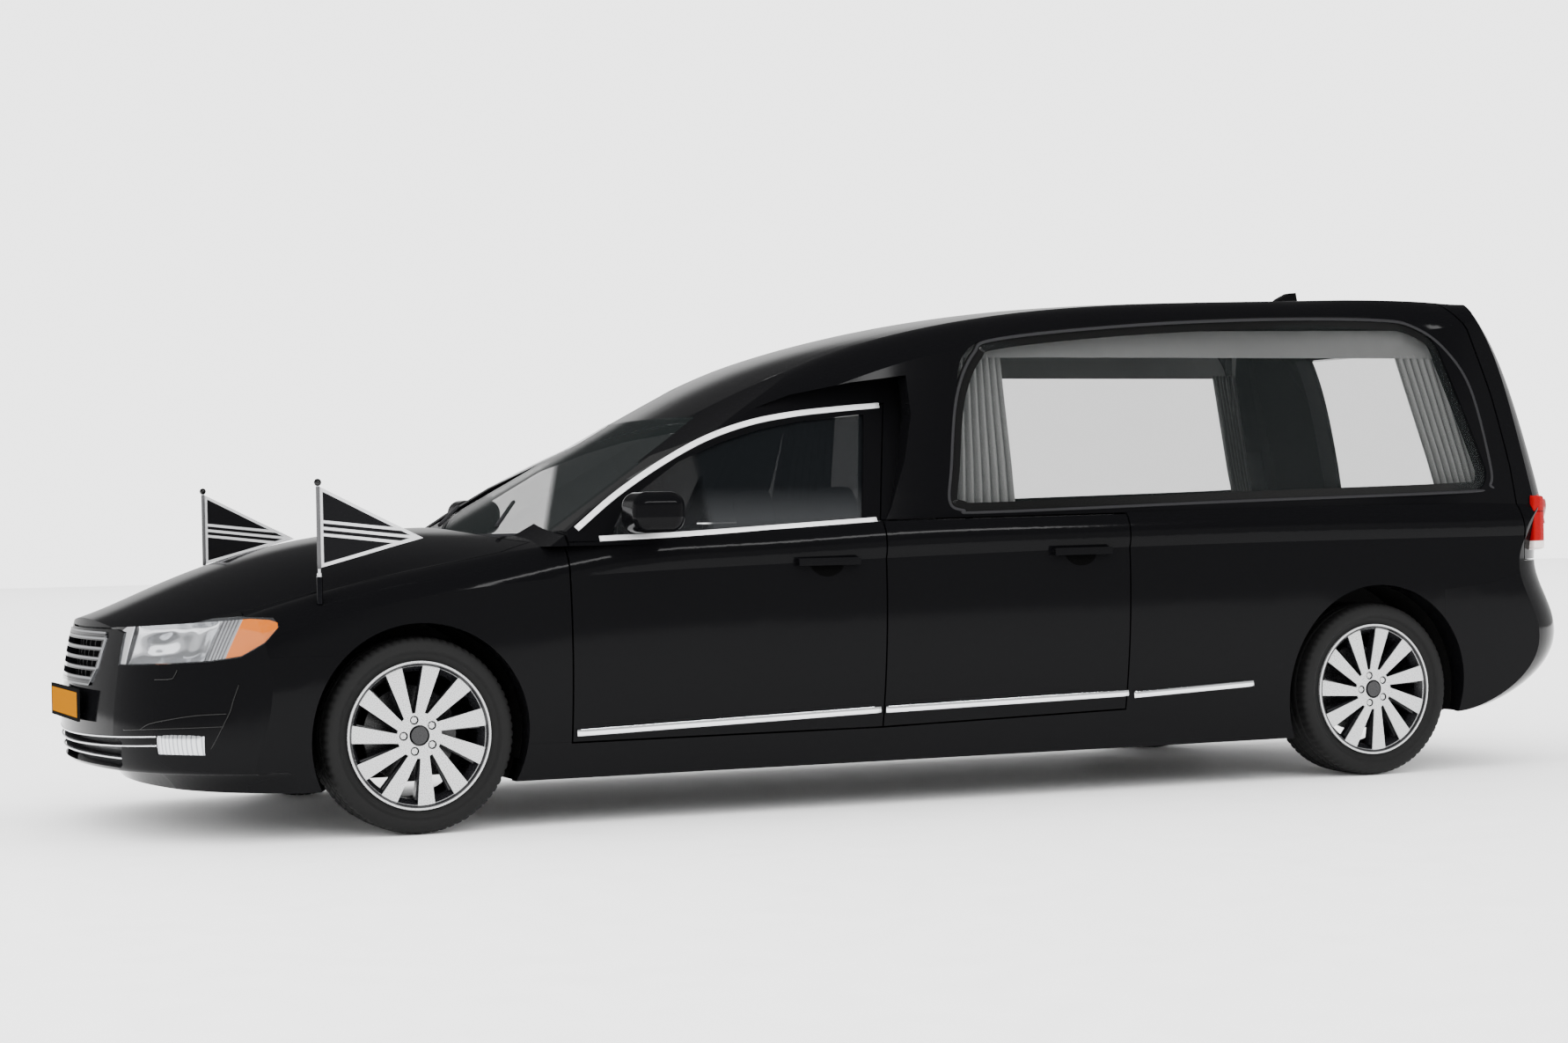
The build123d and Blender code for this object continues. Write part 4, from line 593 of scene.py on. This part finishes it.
LAMP_LOW = np.array([(0.466, 0.706), (0.520, 0.652), (0.590, 0.610), (0.680, 0.596), (0.950, 0.578)])
LAMP_HIGH = np.array([(0.466, 0.712), (0.500, 0.724), (0.560, 0.729), (0.800, 0.711), (0.950, 0.696)])
LAMP_ENDS = (0.925, 0.474)
BOWL = (0.20, 0.62)
LENS_THICK = 0.007


def skin_y(x, z):
    """Half width of the nose at a forward reach: the outer plan arc, held inside the lower body's side."""
    centre, radius = OUTER_ARC
    reach = x - np.polyval(NOSE_CURVE, z) - centre[0]
    return np.minimum(centre[1] + np.sqrt(np.maximum(radius ** 2 - reach ** 2, 0)), lower_y(x, z))


def lamp_surface(sign):
    """Bowl behind the lens: u runs from the inner end round to the rear tip, evenly across the view from the side, and
    v up between the lamp's edges; the main reflector sinks by a depth that grows from its edges to a round middle."""
    u = np.linspace(0, 1, 120)[:, None]
    v = np.linspace(0, 1, 32)[None, :]
    trial = FRONT_X + np.linspace(*LAMP_ENDS, 200)
    across = 0.378 * skin_y(trial, 0.66) - 0.926 * trial
    x = np.interp(across[0] + (across[-1] - across[0]) * u, across, trial)
    low = np.interp(x - FRONT_X, LAMP_LOW[:, 0], LAMP_LOW[:, 1])
    high = np.interp(x - FRONT_X, LAMP_HIGH[:, 0], LAMP_HIGH[:, 1])
    z = low + (high - low) * v
    share = np.clip((u - LAMP_SLANT * v - BOWL[0] + 0.05) / (BOWL[1] - BOWL[0] + 0.05), 0, 1)
    well = (1 - np.abs(2 * share - 1) ** 6) * (1 - np.abs(2 * v - 1) ** 6)
    dome = np.exp(-((share - 0.30) / 0.16) ** 2 - ((v - 0.5) / 0.24) ** 2)
    sink = LENS_THICK + 0.042 * well * (1 - 0.55 * dome) + 0.004 * np.sin(26 * share) * well
    x = x + 0 * v
    y = skin_y(x, z)
    centre, radius = OUTER_ARC
    lean = np.stack([x - np.polyval(NOSE_CURVE, z) - centre[0], y - centre[1]], -1) / radius
    return (np.stack([x - lean[..., 0] * sink, sign * (y - lean[..., 1] * sink), z], -1),
            np.stack(np.broadcast_arrays(u, v), -1))


for side, sign in SIDES:
    surface, uv = lamp_surface(sign)
    patch(f"lamp_bowl_{side}", surface, (FRONT_X, 0, 0.65), lamp_bowl, "body", uv=uv.reshape(-1, 2))

# Bright bars of the lower grille, which run on to the fog lamps, and the bumper's creases, as points (y, z)
BAR_REACH, BAR_R, BAR_PROUD, BAR_BOW = 0.684, 0.0035, 0.0015, 0.016
BAR_HEIGHTS = (0.2727, 0.3053, 0.335)
for index, z in enumerate(BAR_HEIGHTS):
    y = np.linspace(-BAR_REACH, BAR_REACH, 90)
    rise = z + BAR_BOW * (y / BAR_REACH) ** 2 * (index > 0)
    path = np.stack([nose_x(y, rise) + BAR_PROUD, y, rise], 1)
    rail(f"lower_bar_{index}", path, np.tile((1, 0, 0), (90, 1)), rounded(BAR_R, BAR_R, 0.7), chrome, "body")
CREASES = {
    "intake_edge": [(0.878, 0.520), (0.872, 0.471), (0.866, 0.425), (0.845, 0.351), (0.823, 0.301), (0.797, 0.276),
                    (0.715, 0.268), (0.588, 0.262), (0.545, 0.258)],
    "intake_lip": [(0.625, 0.372), (0.660, 0.391), (0.733, 0.408), (0.802, 0.421), (0.862, 0.426)],
    "intake_roof": [(0.545, 0.368), (0.625, 0.372), (0.792, 0.381), (0.858, 0.385)],
    "washer_flap": [(0.667, 0.535), (0.720, 0.538), (0.730, 0.548), (0.736, 0.567)],
}
CREASE_R, CREASE_PROUD = 0.0022, 0.0012
FOG_Y, FOG_Z, FOG_HALF_Y, FOG_HALF_Z = 0.752, 0.322, 0.071, 0.036


def fog_surface(sign):
    """Ribbed lens on the nose: u runs across and v up, a rectangle with bowed sides and a slanted inner end, lifted
    off the skin by a bulge that is flat in the middle and falls at the edges."""
    u, v = np.meshgrid(np.linspace(-1, 1, 50), np.linspace(-1, 1, 26), indexing="ij")
    y = FOG_Y + FOG_HALF_Y * u * np.sqrt(1 - 0.10 * v ** 2) - 0.006 * v * (u < 0) * u
    z = FOG_Z + FOG_HALF_Z * v * np.sqrt(1 - 0.10 * u ** 2)
    bulge = 0.0010 + 0.0035 * (1 - u ** 4) * (1 - v ** 4)
    return np.stack([nose_x(y, z) + bulge, sign * y, z], -1)


for side, sign in SIDES:
    for name, outline in CREASES.items():
        y, z = along(outline, 60).T
        path = np.stack([nose_x(y, z) + CREASE_PROUD, sign * y, z], 1)
        rail(f"{name}_{side}", path, np.tile((0.75, sign * 0.66, 0), (60, 1)), rounded(CREASE_R, CREASE_R, 0.8),
             gloss_black, "body")
    patch(f"fog_lens_{side}", fog_surface(sign), (FRONT_X + 0.4, 0, FOG_Z), fog_lens, "body")

# Black border and seal of the load space's windows: x, z and the skin's distance out from the leaning side there
SIDE_WINDOW = [
    (-1.985, 1.066, 0.0003), (-2.008, 1.191, 0.0013), (-2.062, 1.443, 0.0042), (-2.147, 1.601, 0.0060),
    (-2.258, 1.656, 0.0035), (-2.812, 1.708, -0.0015), (-3.386, 1.733, 0.0080), (-3.906, 1.737, -0.0260),
    (-4.072, 1.712, -0.0260), (-4.189, 1.628, -0.0056), (-4.278, 1.474, 0.0153), (-4.332, 1.199, 0.0156),
    (-4.330, 1.097, 0.0098), (-4.255, 1.071, 0.0030), (-3.138, 1.048, 0.0007), (-2.141, 1.026, 0.0003),
    (-2.035, 1.034, 0.0003),
]
BORDER_SUNK, SEAL_SUNK = 0.0065, 0.0015
REAR_SUNK, REAR_FADE, REAR_EDGE = 0.012, 0.07, -4.19
BORDER_DEPTHS = (-0.010, 0.0, 0.012, 0.024, 0.036)


def loop_outline(points, count):
    """Closed smooth outline through points, with its inward normals, both in the side view, and the third values."""
    closed = along([*points[-2:], *points, *points[:3]], count * 2)
    start, stop = int(2 * (count * 2) / (len(points) + 4)), int((len(points) + 2) * (count * 2) / (len(points) + 4))
    ring, skin = closed[start:stop, :2], closed[start:stop, 2]
    step = np.gradient(ring, axis=0)
    inward = np.stack([-step[:, 1], step[:, 0]], 1)
    inward /= np.linalg.norm(inward, axis=1, keepdims=True)
    return ring, -inward if ((ring.mean(0) - ring) * inward).sum() < 0 else inward, skin


ring, inward, skin = loop_outline(SIDE_WINDOW, 160)
for side, sign in SIDES:
    depths = np.array(BORDER_DEPTHS)
    flat = ring[:, None] + depths[None, :, None] * inward[:, None]
    x, z = FRONT_X + flat[..., 0], flat[..., 1]
    sunk = BORDER_SUNK + REAR_SUNK * np.clip((REAR_EDGE + REAR_FADE - ring[:, :1]) / REAR_FADE, 0, 1)
    y = sign * (upper_y(x, z) + skin[:, None] - sunk)
    points = np.stack([x, y, z], -1).reshape(-1, 3)
    faces = grid_faces(len(ring), len(depths), wrap_rows=True)
    faces = outward(points, faces, np.array([points[:, 0].mean(), 0, 1.3]))
    piece(f"window_border_{side}", points, faces, gloss_black, "body")
    along_x = FRONT_X + ring[:, 0]
    path = np.stack([along_x, sign * (upper_y(along_x, ring[:, 1]) + skin - SEAL_SUNK), ring[:, 1]], 1)
    path = np.vstack([path, path[:1]])
    rail(f"window_seal_{side}", path, np.tile((0, sign, 0.2), (len(path), 1)), rounded(0.0045, 0.006, 0.8),
         dark_plastic, "body")

# Side lenses of the tail lamps: upright blocks over the tailgate's rounded corner, as place along and half width
TAIL_CORNER = np.array([(-2.70, 0.8345), (-2.67, 0.8591), (-2.64, 0.8804), (-2.60, 0.8972), (-2.56, 0.9097)])
LENS_X, LENS_Z = (-2.692, -2.590), (0.836, 1.054)
LENS_PROUD, LENS_DEEP = 0.003, 0.075


def tail_lens_surface(sign):
    """Rounded block: u runs forwards and v up, both closer set near the edges; the corner's half width plus a little,
    less a depth that grows steeply towards the edges."""
    u = 0.5 - 0.5 * np.cos(np.linspace(0, np.pi, 36))[:, None]
    v = 0.5 - 0.5 * np.cos(np.linspace(0, np.pi, 44))[None, :]
    x = LENS_X[0] + (LENS_X[1] - LENS_X[0]) * u + 0 * v
    z = LENS_Z[0] + (LENS_Z[1] - LENS_Z[0]) * v + 0 * u
    full = (1 - np.abs(2 * u - 1) ** 24) * (1 - np.abs(2 * v - 1) ** 40)
    y = np.interp(x, TAIL_CORNER[:, 0], TAIL_CORNER[:, 1]) + LENS_PROUD - LENS_DEEP * (1 - full)
    return np.stack([x, sign * y, z], -1)


for side, sign in SIDES:
    patch(f"tail_lens_{side}", tail_lens_surface(sign), (REAR_X, 0, 0.95), LOOKS["tail_lamps"], "tailgate")

# Tyres with grooves, shoulder cuts and ringed walls
GROOVE_DEEP, GROOVE_HALF, GROOVES = 0.0062, 0.0042, (0.028, 0.064)
CUTS, CUT_DEEP, SIPE_DEEP = 72, 0.0042, 0.0022
TREAD_HALF, TREAD_DROP, WALL_RING = 0.0990, 0.0035, 0.0008


def tyre_surface(centre_x, sign):
    """Profile of wall, shoulder and tread turned about the axle: radius falls by a groove's depth where a groove
    runs round, and by a cut's depth on the shoulders at even steps of angle."""
    across = np.concatenate([
        np.linspace(0.0, 1.0, 15)[:-1] * 0.012 + 0.0967,
        [0.1165, 0.1195, 0.1200, 0.1198, 0.1180, 0.1150, 0.1100, 0.1045],
    ])
    height = np.concatenate([
        np.linspace(RIM_R + 0.0005, RIM_R + 0.026, 14),
        [RIM_R + 0.031, RIM_R + 0.036, 0.2880, 0.2960, 0.3045, 0.3120, 0.3175, 0.3215],
    ])
    height = height + WALL_RING * (np.sin((height - RIM_R) * 900) > 0.55) * (height < 0.30)
    tread_y = np.linspace(TREAD_HALF, 0.0, 34)
    tread_r = TYRE_R - 0.0005 - TREAD_DROP * (tread_y / TREAD_HALF) ** 4
    groove = sum(np.clip(1.5 - np.abs(tread_y - centre) / GROOVE_HALF, 0, 1) for centre in GROOVES)
    half_y = np.concatenate([[0.060, 0.0962], across, tread_y])
    half_r = np.concatenate([[RIM_R - 0.0255, RIM_R - 0.0060], height, tread_r - GROOVE_DEEP * np.clip(groove, 0, 1)])
    y = np.concatenate([-half_y, half_y[-2::-1]])
    r = np.concatenate([half_r, half_r[-2::-1]])
    angle = np.linspace(0, 2 * np.pi, 288, endpoint=False)
    on_shoulder = ((np.abs(y) > 0.072) & (r > 0.316)).astype(float)
    on_middle = ((np.abs(y) < 0.060) & (r > 0.3225)).astype(float)
    cut = np.sin(CUTS * angle)[:, None] > 0.45
    fine = np.sin(CUTS * angle[:, None] + 90 * y[None, :]) > 0.8
    radius = r[None] - CUT_DEEP * cut * on_shoulder[None] - SIPE_DEEP * fine * on_middle[None]
    return np.stack([
        centre_x + radius * np.sin(angle)[:, None],
        np.broadcast_to(sign * WHEEL_Y + y[None], radius.shape),
        TYRE_R + radius * np.cos(angle)[:, None],
    ], -1)


for name, centre_x, sign in (("front_left", FRONT_X, 1), ("front_right", FRONT_X, -1), ("rear_left", REAR_X, 1),
                             ("rear_right", REAR_X, -1)):
    surface = tyre_surface(centre_x, sign)
    rows, columns = surface.shape[:2]
    points = surface.reshape(-1, 3)
    faces = grid_faces(rows, columns, wrap_rows=True, wrap_columns=True)
    core = points.reshape(rows, columns, 3).copy()
    spoke = core - (centre_x, 0, TYRE_R)
    spoke[..., 1] = 0
    spoke *= 0.285 / np.linalg.norm(spoke, axis=-1, keepdims=True)
    middle = (spoke + (centre_x, sign * WHEEL_Y, TYRE_R)).reshape(-1, 3)[faces].mean(1)
    tyre = piece(f"tyre_tread_{name}", points, outward(points, faces, middle), rubber, f"wheel_{name}")
    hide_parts(f"tyre_{name}")

# Pennants on the fender poles


def pennant_finish():
    """Black cloth with a silver border and three silver stripes, on the pennant's own UV map, with a woven relief."""
    made = finish("pennant_cloth", (0.01, 0.01, 0.011), grain=(2600.0, 0.7, 0.9, 0.5), Specular_IOR_Level=0.1)
    along_u, across_v = own_map(made)[:2]
    left_over = calculate(made, "SUBTRACT", 1.0, along_u)
    below = calculate(made, "MULTIPLY", across_v, left_over)
    above = calculate(made, "SUBTRACT", left_over, below)
    middle = calculate(made, "SUBTRACT", below, calculate(made, "MULTIPLY", left_over, 0.491))
    lines = [band(made, middle, low, low + 0.040, 0.004) for low in (-0.10, -0.02, 0.06)]
    lines.append(band(made, below, -0.1, 0.045, 0.004))
    lines.append(band(made, above, -0.1, 0.045, 0.004))
    lines.append(band(made, along_u, -0.1, 0.030, 0.004))
    mask = lines[0]
    for extra in lines[1:]:
        mask = calculate(made, "MAXIMUM", mask, extra)
    tint(made, mask, (0.0025, 0.0025, 0.003), (0.46, 0.46, 0.47))
    return made


pennant_cloth = pennant_finish()
FLAG_X, FLAG_Y, FLAG_LENGTH = FRONT_X + 0.322, 0.862, 0.3465
FLAG_HIGH, FLAG_LOW, FLAG_TIP = 1.152, 0.888, 0.978
SLEEVE_R, BALL_R, BALL_Z = 0.0066, 0.0122, 1.166


def pennant_surface(sign):
    """Triangle from the pole to its tip: u runs along, v across between the lower and upper edge; a wave that grows
    from the pole leans it sideways."""
    u = np.linspace(0, 0.995, 60)[:, None]
    v = np.linspace(0, 1, 24)[None, :]
    low = FLAG_LOW + (FLAG_TIP - FLAG_LOW) * u
    high = FLAG_HIGH + (FLAG_TIP - FLAG_HIGH) * u
    z = low + (high - low) * v
    x = FLAG_X - 0.006 - FLAG_LENGTH * u + 0 * v
    wave = 0.007 * u * np.sin(7.0 * u + 1.2 * v) + 0.002 * np.sin(3 * v + 2) * u
    return np.stack([x, sign * FLAG_Y + wave, z], -1), np.stack(np.broadcast_arrays(u / 0.995, v), -1)


for side, sign in SIDES:
    surface, uv = pennant_surface(sign)
    points = surface.reshape(-1, 3)
    flag = piece(f"pennant_{side}", points, grid_faces(*surface.shape[:2]), pennant_cloth, "body", uv=uv.reshape(-1, 2))
    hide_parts(f"flag_{side}")
    path = np.stack([np.full(12, FLAG_X), np.full(12, sign * FLAG_Y), np.linspace(FLAG_LOW - 0.004, FLAG_HIGH, 12)], 1)
    rail(f"pennant_sleeve_{side}", path, np.tile((1, 0, 0), (12, 1)), rounded(SLEEVE_R, SLEEVE_R, 1.0), lining, "body")
    t = np.linspace(0, np.pi, 18)
    path = np.stack([np.full(18, FLAG_X), np.full(18, sign * FLAG_Y), BALL_Z - BALL_R * np.cos(t)], 1)
    radius = np.maximum(BALL_R * np.sin(t), 0.0004)
    turn = np.linspace(0, 2 * np.pi, 24, endpoint=False)
    ball = path[:, None] + radius[:, None, None] * np.stack([np.cos(turn), np.sin(turn), 0 * turn], 1)[None]
    patch(f"pole_ball_{side}", ball, (FLAG_X, sign * FLAG_Y, BALL_Z), gloss_black, "body", wrap=True)

# Pleated curtains and pelmets in the load space


def curtain_finish():
    """Light grey cloth with a fine weave, and painted shade in its folds: darker where the folds lie furthest in, from
    the curtain's own UV map.
    """
    made = finish("curtain_cloth_fold_shade", (0.5, 0.5, 0.49), grain=(1800.0, 0.75, 0.95, 0.4), Sheen_Weight=0.15)
    turn = calculate(made, "MULTIPLY", own_map(made)[0], 2 * math.pi)
    fold = calculate(made, "MULTIPLY_ADD", calculate(made, "COSINE", turn), 0.5)
    made.node_tree.nodes[-1].inputs[2].default_value = 0.5
    # painted shade: dark where the cosine puts each fold's deepest part, light on its crest
    tint(made, calculate(made, "POWER", fold, 0.4), (0.035, 0.036, 0.036), (0.17, 0.172, 0.168))
    return made


curtain_cloth_fold_shade = curtain_finish()
pelmet_cloth = finish("pelmet_cloth", (0.13, 0.13, 0.128), grain=(1800.0, 0.75, 0.95, 0.4), Sheen_Weight=0.1)
WINDOW_FRONT, WINDOW_REAR = FRONT_X - 1.972, REAR_X - 0.578
CLOTH_INSIDE = 0.0665
HUNG_LOW, HUNG_TOP = BELT + 0.026, BELT + 0.738 - 0.135
CURTAINS = {
    "front_curtain": (WINDOW_FRONT - 0.034, WINDOW_FRONT - 0.112, WINDOW_FRONT - 0.314, WINDOW_FRONT - 0.314, 8),
    "rear_curtain": (WINDOW_REAR + 0.201, WINDOW_REAR + 0.349, WINDOW_REAR - 0.010, WINDOW_REAR + 0.122, 7),
}


def hung_cloth(low_a, top_a, low_b, top_b, low_z, top_z_a, top_z_b, folds, depth, sign):
    """Cloth hung inside the side wall: u runs along, v up; a cosine of u folds it in and out, deeper near the foot."""
    u = np.linspace(0, 1, folds * 16 + 1)[:, None]
    v = np.linspace(0, 1, 14)[None, :]
    z = low_z + (top_z_a + (top_z_b - top_z_a) * u - low_z) * v
    x = (low_a + (low_b - low_a) * u) * (1 - v) + (top_a + (top_b - top_a) * u) * v
    fold = 0.5 - 0.5 * np.cos(2 * np.pi * folds * u)
    y = upper_y(x, z) - CLOTH_INSIDE - 0.010 * (z < 1.2) * (1.2 - z) / 0.2 - depth * fold * (1.05 - 0.35 * v)
    return np.stack([x, sign * y, z], -1), np.stack(np.broadcast_arrays(u * folds, v), -1)


DRAWN_BACK, FOLD_DEEP = 0.11, 0.015
PELMET_FOLDS, PELMET_DEEP = 24, 0.0015
for side, sign in SIDES:
    hung = []
    for name, (low_a, top_a, low_b, top_b, folds) in CURTAINS.items():
        if (name, side) == ("rear_curtain", "right"):
            low_a, top_a = low_a - DRAWN_BACK, top_a - DRAWN_BACK
        cloth = hung_cloth(low_a, top_a, low_b, top_b, HUNG_LOW, HUNG_TOP, HUNG_TOP, folds, FOLD_DEEP, sign)
        hung.append((name, cloth))
    front, rear = WINDOW_FRONT - 0.11, WINDOW_REAR + 0.12
    cloth = hung_cloth(front, front, rear, rear, HUNG_TOP - 0.012, HUNG_TOP + 0.080, HUNG_TOP + 0.098, PELMET_FOLDS,
                       PELMET_DEEP, sign)
    hung.append(("pelmet", cloth))
    for name, (surface, uv) in hung:
        look = pelmet_cloth if name == "pelmet" else curtain_cloth_fold_shade
        cloth = piece(f"{name}_{side}", surface.reshape(-1, 3), grid_faces(*surface.shape[:2]), look, "body",
                      uv=uv.reshape(-1, 2))
        if name == "pelmet":
            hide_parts(f"curtains_{side}")

# Front seats: cushion, back and head pad


def pad_surface(centre, half, tilt, sag=0.0):
    """Superellipsoid pad: latitude and longitude with powers of sine and cosine, sewn channels as a ripple on its
    face, turned about the cross axis by tilt."""
    a = np.linspace(-np.pi / 2, np.pi / 2, 40)[:, None]
    b = np.linspace(0, 2 * np.pi, 64, endpoint=False)[None, :]

    def power(value, share):
        return np.sign(value) * np.abs(value) ** share

    x = half[0] * power(np.cos(a), 0.35) * power(np.cos(b), 0.35)
    y = half[1] * power(np.cos(a), 0.35) * power(np.sin(b), 0.35)
    z = half[2] * power(np.sin(a), 0.5) + 0 * b
    z = z + sag * np.cos(np.pi * np.clip(y / half[1], -1, 1)) * (z > 0)
    z = z - 0.006 * (np.abs(np.abs(y) - 0.55 * half[1]) < 0.012) * (z > 0)
    c, s = math.cos(tilt), math.sin(tilt)
    return np.stack([centre[0] + c * x + s * z, centre[1] + y, centre[2] - s * x + c * z], -1)


SEAT_X = FRONT_X - 1.5
PADS = {
    "cushion": ((SEAT_X + 0.06, 0.375, 0.405), (0.245, 0.245, 0.075), -0.08, -0.012),
    "backrest": ((SEAT_X - 0.165, 0.375, 0.675), (0.275, 0.235, 0.065), -1.24, -0.012),
    "head_pad": ((SEAT_X - 0.262, 0.375, 1.045), (0.085, 0.125, 0.045), -1.35, 0.0),
}
for side, sign in SIDES:
    for name, (centre, half, tilt, sag) in PADS.items():
        middle = (centre[0], sign * centre[1], centre[2])
        pad = patch(f"seat_{name}_{side}", pad_surface(middle, half, tilt, sag), middle, hide, "body", wrap=True)
        if name == "cushion":
            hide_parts(f"front_seat_{side}")
    path = np.stack([np.full(8, SEAT_X + 0.06), sign * np.linspace(0.20, 0.55, 8), np.full(8, 0.287)], 1)
    rail(f"seat_frame_{side}", path, np.tile((1, 0, 0), (8, 1)), rounded(0.16, 0.056, 0.3), dark_plastic, "body")

# Wipers, as start and end of each blade
WIPERS = {
    "near": ((-0.40, 0.52, 1.012), (-0.62, 0.05, 1.098)),
    "far": ((-0.36, -0.02, 1.020), (-0.58, -0.50, 1.088)),
}
for name, (start, end) in WIPERS.items():
    flat = np.linspace(start, end, 24)
    path = flat + (FRONT_X, 0, 0)
    rail(f"wiper_{name}", path, np.tile((0.5, 0, 0.8), (24, 1)), rounded(0.006, 0.008, 0.6), dark_plastic, "body")

# Stage: pale floor, soft lights and the camera of the photograph
FLOOR_HALF = 60.0
FLOOR_CORNERS = [(a * FLOOR_HALF, b * FLOOR_HALF, 0) for a, b in ((-1, -1), (1, -1), (1, 1), (-1, 1))]
floor_mesh = bpy.data.meshes.new("floor")
floor_mesh.from_pydata(FLOOR_CORNERS, [], [(0, 1, 2, 3)])
floor_mesh.materials.append(finish("pale_floor", (0.86, 0.86, 0.86), grain=(6.0, 0.5, 0.6, 0.0)))
floor = bpy.data.objects.new("floor", floor_mesh)
bpy.context.scene.collection.objects.link(floor)

world = bpy.data.worlds.new("studio")
bpy.context.scene.world = world
world.use_nodes = True
heading = world.node_tree.nodes.new("ShaderNodeTexCoord")
height = world.node_tree.nodes.new("ShaderNodeSeparateXYZ")
world.node_tree.links.new(heading.outputs["Generated"], height.inputs[0])
fade = world.node_tree.nodes.new("ShaderNodeMapRange")
fade.interpolation_type = "SMOOTHSTEP"
SKY_FADE = (("From Min", 0.20), ("From Max", 0.31), ("To Min", 1.0), ("To Max", 0.12))
for socket, value in SKY_FADE:
    fade.inputs[socket].default_value = value
world.node_tree.links.new(height.outputs["Z"], fade.inputs["Value"])
world.node_tree.links.new(fade.outputs["Result"], world.node_tree.nodes["Background"].inputs["Color"])
world.node_tree.nodes["Background"].inputs["Strength"].default_value = 0.9

# Pale round backdrop that lights the scene but keeps out of the black paint's reflections
BACKDROP_R, BACKDROP_TOP, BACKDROP_GLOW = 45.0, 15.0, 3.4
turn = np.linspace(0, 2 * np.pi, 96, endpoint=False)[None, :]
rise = np.array([0.0, BACKDROP_TOP])[:, None]
wall = np.stack(np.broadcast_arrays(BACKDROP_R * np.cos(turn), BACKDROP_R * np.sin(turn), rise), -1)
backdrop_mesh = bpy.data.meshes.new("backdrop")
backdrop_mesh.from_pydata(wall.reshape(-1, 3).tolist(), [], [list(f) for f in grid_faces(2, 96, wrap_columns=True)])
glow = finish("backdrop_glow", (0.0, 0.0, 0.0), grain=(1.0, 0.9, 0.9, 0.0), Specular_IOR_Level=0.0)
glow.node_tree.nodes["Principled BSDF"].inputs["Emission Color"].default_value = (1, 1, 1, 1)
glow.node_tree.nodes["Principled BSDF"].inputs["Emission Strength"].default_value = BACKDROP_GLOW
backdrop_mesh.materials.append(glow)
backdrop = bpy.data.objects.new("backdrop", backdrop_mesh)
backdrop.visible_glossy = False
bpy.context.scene.collection.objects.link(backdrop)


def soft_light(name, place, target, width, depth, power):
    """Area light at a place, facing a target."""
    lamp = bpy.data.lights.new(name, "AREA")
    lamp.shape, lamp.size, lamp.size_y, lamp.energy = "RECTANGLE", width, depth, power
    thing = bpy.data.objects.new(name, lamp)
    bpy.context.scene.collection.objects.link(thing)
    z = np.subtract(place, target)
    z = z / np.linalg.norm(z)
    x = np.cross((0, 0, 1), z) if abs(z[2]) < 0.99 else np.array([1.0, 0, 0])
    x = x / np.linalg.norm(x)
    thing.matrix_world = Matrix(np.vstack([np.column_stack([x, np.cross(z, x), z, place]), (0, 0, 0, 1)]).tolist())
    return thing


soft_light("overhead", (0, 0, 14.9), (0, 0, 0.0), 88.0, 88.0, 105000).visible_glossy = False
soft_light("shoulder_strip", (0, 9.0, 7.5), (0, 0, 1.0), 13.0, 0.9, 900).visible_diffuse = False
soft_light("nose_side", (7.5, 3.0, 3.5), (1.5, 0, 0.8), 3.0, 3.0, 160).visible_glossy = False

EYE = (FRONT_X + 2.6724, 9.8672, 1.0145)
YAW, PITCH, ROLL = -0.38759, -0.0049, -0.01999
FRAME_WIDTH, FOCAL, SHIFT = 1782, 3218.4, (100.56, 15.64)
ahead = np.array([math.sin(YAW) * math.cos(PITCH), -math.cos(YAW) * math.cos(PITCH), math.sin(PITCH)])
level = np.array([-math.cos(YAW), -math.sin(YAW), 0.0])
down = -np.cross(level, ahead)
right = math.cos(ROLL) * level - math.sin(ROLL) * down
below = math.sin(ROLL) * level + math.cos(ROLL) * down
view = bpy.data.cameras.new("camera")
view.sensor_width = 36.0
view.lens = view.sensor_width * FOCAL / FRAME_WIDTH
view.shift_x, view.shift_y = SHIFT[0] / FRAME_WIDTH, SHIFT[1] / FRAME_WIDTH
view.clip_end = 200.0
camera = bpy.data.objects.new("camera", view)
bpy.context.scene.collection.objects.link(camera)
camera.matrix_world = Matrix(np.vstack([np.column_stack([right, -below, -ahead, EYE]), (0, 0, 0, 1)]).tolist())
bpy.context.scene.camera = camera
